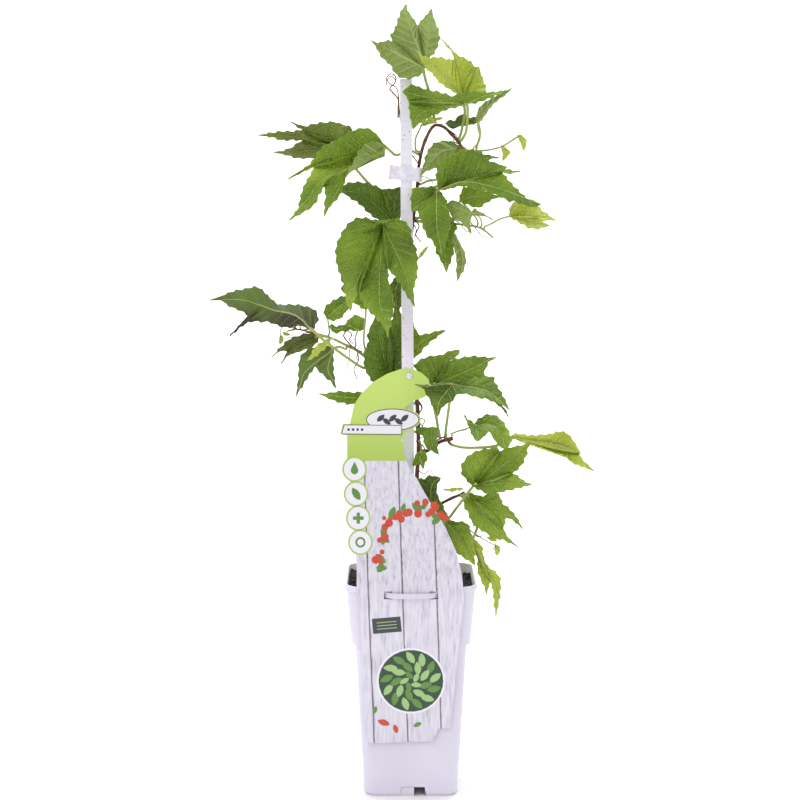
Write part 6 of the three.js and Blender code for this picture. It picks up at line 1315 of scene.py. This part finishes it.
def tooth(share, teeth, length):
    """How far a tooth stands out of the edge at a share of it, leaning to the tip."""
    within = (share * teeth) % 1
    shape = (within / 0.7) ** 1.4 if within < 0.7 else (1 - within) / 0.3
    uneven = 0.75 + 0.4 * noise.noise(Vector((math.floor(share * teeth) * 1.7, length, 0)))
    fade = ease(0, 0.1, share) * (1 - ease(0.78, 0.97, share))
    return TOOTH_DEPTH * min(1, length / 35) * fade * uneven * (shape - 0.3)


def edge_columns(curve, feet, stations, teeth):
    """Columns [rib station, share of the edge], with each station used once or more."""
    columns = []
    ray_share = vein_end(feet, 0)
    shares = [(number + step) / teeth for number in range(teeth) for step in TOOTH_STEPS] + [1]
    for share in shares:
        place = share * EDGE_SAMPLES
        low = min(int(place), EDGE_SAMPLES - 1)
        foot = feet[low] + (place - low) * (feet[low + 1] - feet[low])
        station = 0 if share <= ray_share else min(stations - 1, round(foot * stations))
        if share == 1:
            station = stations
        if columns:
            last, last_share = columns[-1]
            station = max(station, last)
            for skipped in range(last + 1, station):
                part = (skipped - last) / (station - last)
                columns.append((skipped, last_share + part * (share - last_share)))
        columns.append((station, share))
    return columns


def make_blade(name, side, joint, edge, bends, tones):
    """The blade as a mesh of columns that run from the ribs to the edge, and its ribs."""
    stretches = [[drawn(point) for point in stretch] for stretch in edge]
    outline = [point for stretch in stretches for point in stretch]
    reach = max((point - joint).length for point in outline)
    inward = (sum(outline, Vector()) / len(outline) - joint).normalized()
    sinus = joint - SINUS_SET_BACK * inward
    loop = [sinus, *outline]
    facing = Vector()
    for point, after in zip(loop, [*outline, sinus]):
        facing += (point - joint).cross(after - joint)
    facing.normalize()
    upward = -facing if (side == "upper") != (facing.y < 0) else facing

    bm = bmesh.new()
    lift = bm.verts.layers.float.new("lift")
    vein_map = bm.loops.layers.uv.new("veins")
    blade_map = bm.loops.layers.uv.new("blade")
    rows = max(8, round(reach / ROW_WIDTH))
    ribs = []
    notch = sinus
    for number in range(0, len(stretches), 2):
        is_last = number + 2 == len(stretches)
        tip = stretches[number][-1]
        next_notch = sinus if is_last else stretches[number + 1][-1]
        fall = [tip, *stretches[number + 1]] + ([sinus] if is_last else [])
        edges = [Curve([notch, *stretches[number]]), Curve(fall[::-1])]
        shortest = min(curve.length for curve in edges)

        def midway(share):
            a, b = (curve.at(1 - share * shortest / curve.length) for curve in edges)
            return (a + b) / 2

        bend = bends.get(number // 2)
        middle = [drawn(point) for point in bend] if bend else [midway(0.7), midway(0.35)]
        rib = Curve([joint, *middle, tip])
        all_feet = [vein_feet(curve, rib) for curve in edges]
        stations = max(10, round(rib.length / STATION_LENGTH))
        roots = [joint]
        for station in range(1, stations):
            foot = rib.at(station / stations)
            ends = [curve.at(vein_end(feet, station / stations)) for curve, feet in zip(edges, all_feet)]
            half_width = min((end - foot).length for end in ends)
            roots.append(foot - upward * RIB_VALLEY * half_width)
        roots.append(tip)
        ribs.append(roots)

        for curve, feet in zip(edges, all_feet):
            teeth = max(2, round(curve.length / TOOTH_SPACING))
            columns = edge_columns(curve, feet, stations, teeth)
            rays = vein_end(feet, 0) * curve.length / (2 * VEIN_SPACING)
            made = bmesh.ops.create_grid(bm, x_segments=len(columns) - 1, y_segments=rows, size=1)
            for vert in made["verts"]:
                column = round((vert.co.x + 1) / 2 * (len(columns) - 1))
                across = round((vert.co.y + 1) / 2 * rows) / rows
                station, share = columns[column]
                root, end = roots[station], curve.at(share)
                outward = curve.along(share).cross(facing).normalized()
                if curve is edges[1]:
                    outward.negate()
                stand = tooth(share, teeth, curve.length) * ease(0.72, 1, across)
                vert.co = root.lerp(end, across) + outward * stand
                # Veins are counted along the rib, and backwards from its foot along the rays.
                width = (end - root).length
                count = station / stations * rib.length / VEIN_SPACING
                if station == 0:
                    count = -rays * (1 - share / max(vein_end(feet, 0), 1e-6))
                between = 1 - abs(math.cos(math.pi * count)) ** 2
                inner = math.sin(math.pi * across)
                quilt = (QUILT_HEIGHT * between - QUILT_DROP) * min(1, width / QUILT_FULL_WIDTH)
                vert[lift] = quilt * inner**0.6 + ARCH * width * inner if across not in (0, 1) else 0
                for corner in vert.link_loops:
                    corner[vein_map].uv = (count, across * width)
                    corner[blade_map].uv = (across, station / stations)
        notch = next_notch
    bmesh.ops.remove_doubles(bm, verts=bm.verts, dist=0.02)
    bmesh.ops.dissolve_degenerate(bm, dist=1e-4, edges=bm.edges)
    bmesh.ops.recalc_face_normals(bm, faces=bm.faces)
    bm.normal_update()
    if sum((face.normal * face.calc_area() for face in bm.faces), Vector()).dot(upward) < 0:
        bmesh.ops.reverse_faces(bm, faces=bm.faces)
    bm.normal_update()
    shift = Vector((random.Random(name).uniform(0, 50), 0, 0))
    wave = WAVE_HEIGHT * min(1, reach / WAVE_FULL_REACH)
    for vert in bm.verts:
        vert.co += vert.normal * (vert[lift] + wave * noise.noise(vert.co / WAVE_LENGTH + shift))
    tone_layer = bm.verts.layers.float.new("tone")
    low, high = (pick(vert.co.z for vert in bm.verts) for pick in (min, max))
    for vert in bm.verts:
        vert[tone_layer] = tones[0] + (tones[1] - tones[0]) * (vert.co.z - low) / (high - low)
    return bm, ribs, inward, upward, reach


def leaf_upper(name, deep, mid, light, vein, sheen):
    """The upper face: waxy and glossy, with pale sunken ribs and veins and raised green between."""
    material, tree, shader, place = start_material(name, IOR=1.46, Subsurface_Weight=0.06,
                                                   Subsurface_Scale=0.0015, Coat_Weight=sheen,
                                                   Coat_Roughness=0.2, Specular_IOR_Level=0.32)
    veins = add_node(tree, "SeparateXYZ", {"Vector": add_node(tree, "UVMap", uv_map="veins")})
    blade = add_node(tree, "SeparateXYZ", {"Vector": add_node(tree, "UVMap", uv_map="blade")})
    # The rib is about 1 mm wide at its foot and half that at its tip.
    taper = add_node(tree, "MapRange", {"Value": blade.outputs["Y"], "To Min": 0.85, "To Max": 0.36})
    in_ribs = add_node(tree, "Math", {0: veins.outputs["Y"], 1: taper}, operation="DIVIDE")
    rib = add_node(tree, "MapRange",
                   {"Value": in_ribs, "From Min": 0.6, "From Max": 1.5, "To Min": 1, "To Max": 0})
    # A side vein lies at each whole number. It is a thin line of about 0.5 mm, and wavers every
    # 9 mm or so.
    bent = add_node(tree, "TexNoise", {"Vector": place, "Scale": 110, "Detail": 2})
    bend = add_node(tree, "Math", {0: bent, 1: 0.12}, operation="MULTIPLY")
    count = add_node(tree, "Math", {0: veins.outputs["X"], 1: bend})
    nearest = add_node(tree, "Math", {0: count, 1: 0.5}, operation="PINGPONG")
    side_vein = add_node(tree, "MapRange",
                         {"Value": nearest, "From Min": 0.02, "From Max": 0.065, "To Min": 0.5,
                          "To Max": 0})
    thinning = add_node(tree, "MapRange",
                        {"Value": blade.outputs["X"], "From Min": 0.55, "From Max": 0.95, "To Min": 1,
                         "To Max": 0.15})
    side_line = add_node(tree, "Math", {0: side_vein, 1: thinning}, operation="MULTIPLY")
    # The finest veins close cells of about 3 mm.
    cells = add_node(tree, "TexVoronoi", {"Vector": place, "Scale": 330}, feature="DISTANCE_TO_EDGE")
    net = add_node(tree, "MapRange",
                   {"Value": cells, "From Min": 0.01, "From Max": 0.12, "To Min": 0.16, "To Max": 0})
    lines = add_node(tree, "Math", {0: rib, 1: side_line}, operation="MAXIMUM")
    pale = add_node(tree, "Math", {0: lines, 1: net}, operation="MAXIMUM")
    # The green drifts over lengths of about 40 mm, and by the leaf's own tone.
    mottle = add_node(tree, "TexNoise", {"Vector": place, "Scale": 26, "Detail": 1})
    tone = add_node(tree, "Attribute", attribute_name="tone").outputs["Fac"]
    level = add_node(tree, "Math", {0: mottle, 1: tone})
    tint = add_node(tree, "ValToRGB", {"Fac": level}, stops=[(0.1, deep), (0.5, mid), (0.9, light)])
    veined = add_node(tree, "Mix", {"Factor": pale, "A": tint, "B": linear(vein)}, data_type="RGBA")
    edge_flush = add_node(tree, "MapRange",
                          {"Value": blade.outputs["X"], "From Min": 0.95, "From Max": 1,
                           "To Max": 0.35})
    rimmed = add_node(tree, "Mix", {"Factor": edge_flush, "A": veined, "B": linear(light)},
                      data_type="RGBA")
    gloss = add_node(tree, "MapRange", {"Value": mottle, "To Min": 0.3, "To Max": 0.52})
    # Veins lie sunk, and each small cell between them bulges.
    bulge = add_node(tree, "Math", {0: cells, 1: 1.6}, operation="MULTIPLY")
    sunk = add_node(tree, "Math", {0: bulge, 1: pale}, operation="SUBTRACT")
    skin = add_node(tree, "Bump", {"Height": sunk, "Strength": 0.7, "Distance": 0.0018})
    feed(shader, Base_Color=rimmed, Roughness=gloss, Normal=skin)
    return material


def leaf_under(name, dark, pale_tint, vein):
    """The underside: dull and greyish, with its raised veins in a yellower line.

    Its cells and its drift of colour have the upper face's sizes.
    """
    material, tree, shader, place = start_material(name, Roughness=0.58, IOR=1.42,
                                                   Subsurface_Weight=0.08, Subsurface_Scale=0.0015)
    veins = add_node(tree, "SeparateXYZ", {"Vector": add_node(tree, "UVMap", uv_map="veins")})
    nearest = add_node(tree, "Math", {0: veins.outputs["X"], 1: 0.5}, operation="PINGPONG")
    side_vein = add_node(tree, "MapRange",
                         {"Value": nearest, "From Min": 0.025, "From Max": 0.07, "To Min": 0.8,
                          "To Max": 0})
    cells = add_node(tree, "TexVoronoi", {"Vector": place, "Scale": 330}, feature="DISTANCE_TO_EDGE")
    net = add_node(tree, "MapRange",
                   {"Value": cells, "From Min": 0.01, "From Max": 0.1, "To Min": 0.35, "To Max": 0})
    lines = add_node(tree, "Math", {0: side_vein, 1: net}, operation="MAXIMUM")
    mottle = add_node(tree, "TexNoise", {"Vector": place, "Scale": 30, "Detail": 3})
    tone = add_node(tree, "Attribute", attribute_name="tone").outputs["Fac"]
    level = add_node(tree, "Math", {0: mottle, 1: tone})
    tint = add_node(tree, "ValToRGB", {"Fac": level}, stops=[(0.25, dark), (0.75, pale_tint)])
    veined = add_node(tree, "Mix", {"Factor": lines, "A": tint, "B": linear(vein)}, data_type="RGBA")
    raised = add_node(tree, "Bump", {"Height": lines, "Strength": 0.5, "Distance": 0.0005})
    feed(shader, Base_Color=veined, Normal=raised)
    return material


# Four ages of leaf: full green, the brightest young green, old dark green, and young leaves still
# flushed with bronze. Each row gives the slot, then the upper face from its depths to its lights,
# with its veins and its sheen, then the underside with its veins.
AGES = {"green": ("leaf_green", ("#3f5d0a", "#709118", "#a4be3a", "#b0c468", 0.12),
                  ("#56702a", "#8fa650", "#a9b86c")),
        "bright": ("leaf_bright", ("#8fa824", "#b8cb3e", "#d4e068", "#d6e28c", 0.1),
                   ("#8ba048", "#b0c070", "#c2cd8a")),
        "bronze": ("leaf_bronze", ("#463a20", "#626c2a", "#7c9632", "#8a9450", 0.15),
                   ("#3b3826", "#637f34", "#727a4c")),
        "dark": ("leaf_green", ("#31490a", "#587818", "#7a9a2a", "#93ad50", 0.16),
                 ("#4f652c", "#74864c", "#8a9862"))}
FINISHES = {age: (slot, leaf_upper(f"waxy_{age}_leaf", *upper),
                  leaf_under(f"dull_{age}_underside", *under))
            for age, (slot, upper, under) in AGES.items()}

# Stalks are round and a little glossy, yellow-green with red over lengths of about 45 mm.
petiole = mottled("glossy_flushed_stalk", 22, 2,
                  [(0.4, "#93a652"), (0.6, "#a9b068"), (0.78, "#8f6a4a")],
                  Roughness=0.42, IOR=1.45, Subsurface_Weight=0.1, Subsurface_Scale=0.002)


def dress_leaf(name, node, blade, ribs, upward, tint, routes):
    """Makes the blade a thin two-faced sheet, with its stalk and the ridges of its ribs below."""
    slot, upper, under = FINISHES[tint]
    plain = len(routes)
    piece = as_object(blade, name, upper, under, smooth=75)
    thick = piece.modifiers.new("blade_thickness", "SOLIDIFY")
    thick.thickness = BLADE_THICKNESS / 1000
    thick.offset = -1
    thick.use_even_offset = False
    thick.use_rim = True
    thick.material_offset = 1
    thick.material_offset_rim = 0
    settle(piece, smooth=75)
    stands_for(piece, node)
    for roots in ribs:
        last = len(roots) - 1
        routes.append([(root - upward * (BLADE_THICKNESS + 0.1), 0.75 - 0.5 * i / last)
                       for i, root in enumerate(roots[: round(last * 0.9)])])
    finishes = (petiole, under) if plain else (under,)
    stands_for(tubes(name + "_stalk", routes, *finishes, sides=12, plain=plain), node)


# Leaves that are plainly darker or paler than others of their age, or that turn from one tone at
# their lowest point to another at their highest.
TONES = {
    "leaf_left_far": (-0.42, 0.32), "leaf_left_hanging": (0.1, 0.3), "leaf_left_low": (-0.12, -0.12),
    "leaf_mid_front": (-0.12, -0.28), "leaf_mid_back": (-0.16, -0.08), "leaf_right_broad": (0.06, 0.18),
    "leaf_right_lower": (0.06, 0.18), "leaf_low_label": (0.28, -0.3), "leaf_left_veined": (-0.06, -0.14),
    "leaf_top": (0.06, 0.06), "leaf_centre_large": (0.14, -0.06), "leaf_right_large": (0.06, -0.14),
    "leaf_left_front": (0.08, -0.06), "leaf_left_back": (0.2, 0.1),
}

for name, (carrier, side, age, bends, stalk, edge) in LEAVES.items():
    route = [drawn(point) for point in stalk]
    joint = route.pop()
    tone = random.Random(name + "tone").uniform(-0.07, 0.07)
    tones = TONES.get(name, (tone, tone))
    blade, ribs, inward, upward, reach = make_blade(name, side, joint, edge, bends, tones)
    # The way that the blade faces at its joint is a mean of the faces round it.
    base = Vector()
    for face in blade.faces:
        gap = (face.calc_center_median() - joint).length
        base += face.normal * face.calc_area() * math.exp(-(gap / JOINT_REACH) ** 2)
    base.normalize()
    radius = min(max(reach * STALK_SHARE, STALK_RADII[0]), STALK_RADII[1])
    towards = route[1] if len(route) > 1 else joint
    centre, along, shoot_radius = seat_on(carrier, route[0])
    out = towards - centre
    out = (out - out.dot(along) * along).normalized()
    foot = centre + out * (shoot_radius + SEAT_ON_STALK)
    lead = min(STALK_LEAD, 0.4 * (foot - towards).length)
    below = joint - base * (radius + STALK_GAP)
    heading = below - route[-1]
    heading = (heading - heading.dot(base) * base).normalized()
    end = below + (inward * 3 if heading.dot(inward) > 0 else heading)
    curve = Curve([foot, foot + out * lead, *route[1:], below, end])
    stalk = []
    for share, spot in curve.sampled(2):
        from_foot, from_end = share * curve.length, (1 - share) * curve.length
        swell = 0.25 * math.exp(-from_foot / 2.5) + 0.2 * math.exp(-from_end / 2.5)
        stalk.append((spot, radius * (1.15 + swell)))
    dress_leaf(name, name, blade, ribs, upward, age, [stalk])

# Unfolding leaflets: small soft blades at the tips of the youngest shoots. Each row gives the
# joint with the shoot and the edge, as in the table of the leaves.
LEAFLETS = [
    ((100, 614.5, 6), [[(98.5, 615.5, 7), (104, 615, 8), (107.5, 608.5, 9), (105, 600, 10)],
     [(102.5, 606, 8)]]),
    ((84.5, 605, 2), [[(87.5, 604, 3), (92, 601, 4), (90.5, 596.5, 5), (85, 591, 6)], [(85, 597, 4)]]),
    ((15, 632.5, 8), [[(18, 633, 9), (21.5, 628, 10), (22, 626, 11)], [(17.5, 628, 9)]]),
    ((10, 625, 6), [[(16, 631, 4), (23, 632, 3), (31, 632, 2)], [(22, 627.5, 3), (16, 625, 5)]]),
    ((7.4, 501.3, -6), [[(9.3, 506.9, -5), (13, 510.6, -4), (16.5, 513, -3)], [(13, 505.9, -5)]]),
    ((48.4, 286.4, -4), [[(43.7, 284.8, -3), (36.3, 284.1, -2), (28.4, 286, -1)], [(35.3, 286.8, -2),
     (42.8, 287.7, -3)]]),
    ((78.8, 233.4, 0), [[(81.8, 233, 1), (83.2, 228.8, 2), (79.5, 224.1, 3)], [(77.7, 228.8, 2)]]),
    ((72.5, 240.9, 0), [[(74.9, 242.7, 1), (78.1, 241.8, 2), (80, 238.1, 2)], [(75.3, 237.6, 1)]]),
    ((-120.9, 428.1, 8), [[(-118.6, 426.9, 8), (-119, 423.2, 9), (-122.3, 420.4, 9)],
     [(-122.8, 425, 9)]]),
    ((-113.9, 430.2, 9), [[(-116.2, 432.5, 9), (-120, 432, 10)], [(-117.2, 429.2, 10)]]),
]
for number, (joint, edge) in enumerate(LEAFLETS):
    name = f"leaflet_{number + 1}"
    blade, ribs, inward, upward, reach = make_blade(name, "upper", drawn(joint), edge, {}, (0.1, 0.1))
    dress_leaf(name, "stem", blade, ribs, upward, "bright", [])

# The floor: a plain pale sweep, seamless up to the horizon.
paper = start_material("pale_studio_paper", Base_Color=linear("#fbfafb"), Roughness=0.8)[0]
SWEEP = 1600
floor_bm = bmesh.new()
sweep = [(-5000, 0)]
sweep += [on_circle(degrees, SWEEP, (SWEEP, SWEEP)) for degrees in range(-90, 1, 6)]
sweep += [(2 * SWEEP, 6000)]
line = [floor_bm.verts.new((-6000, y, z)) for y, z in sweep]
edges = [floor_bm.edges.new(pair) for pair in zip(line, line[1:])]
moved = verts_of(bmesh.ops.extrude_edge_only(floor_bm, edges=edges))
bmesh.ops.translate(floor_bm, verts=moved, vec=(12000, 0, 0))
bmesh.ops.recalc_face_normals(floor_bm, faces=floor_bm.faces)
floor_bm.normal_update()
if floor_bm.faces[:][0].normal.z < 0:
    bmesh.ops.reverse_faces(floor_bm, faces=floor_bm.faces)
floor = as_object(floor_bm, "studio_floor", paper, smooth=60)

# Light: a pale room all round, one large soft lamp from the upper left front, a broad weaker one
# from the right, one above behind the plant, and one that keeps the backdrop white.
world = bpy.data.worlds.new("pale_studio")
world.use_nodes = True
world.node_tree.nodes["Background"].inputs["Color"].default_value = linear("#f6f5f6")
world.node_tree.nodes["Background"].inputs["Strength"].default_value = 0.8
bpy.context.scene.world = world
for name, spot, aim, size, power in (
    ("key_lamp", (-1.3, -1.5, 2.1), (0, 0, 0.4), 1.2, 18),
    ("fill_lamp", (1.8, -1.2, 1.0), (0, 0, 0.35), 1.6, 3),
    ("top_lamp", (0.2, 0.9, 2.2), (0, 0, 0.45), 1.2, 8),
    ("backdrop_lamp", (0, 1.2, 2.6), (0, 3, 0.6), 2.5, 75),
):
    lamp = bpy.data.lights.new(name, "AREA")
    lamp.energy = power
    lamp.size = size
    lamp_piece = in_scene(name, lamp)
    lamp_piece.location = spot
    lamp_piece.rotation_euler = (Vector(aim) - Vector(spot)).to_track_quat("-Z", "Y").to_euler()

# The camera: two metres in front and a little above the leaves' middle, tilted down to the pot.
SENSOR_WIDTH = 36
LENS = 97.97
view = bpy.data.cameras.new("front_view")
view.sensor_width = SENSOR_WIDTH
view.lens = LENS
view.clip_end = 100
camera = in_scene("front_view", view)
camera.location = EYE / 1000
camera.rotation_euler = (math.radians(90) - SIGHT_TILT, 0, 0)
bpy.context.scene.camera = camera
bpy.context.scene.view_settings.view_transform = "Standard"
bpy.context.scene.view_settings.look = "None"
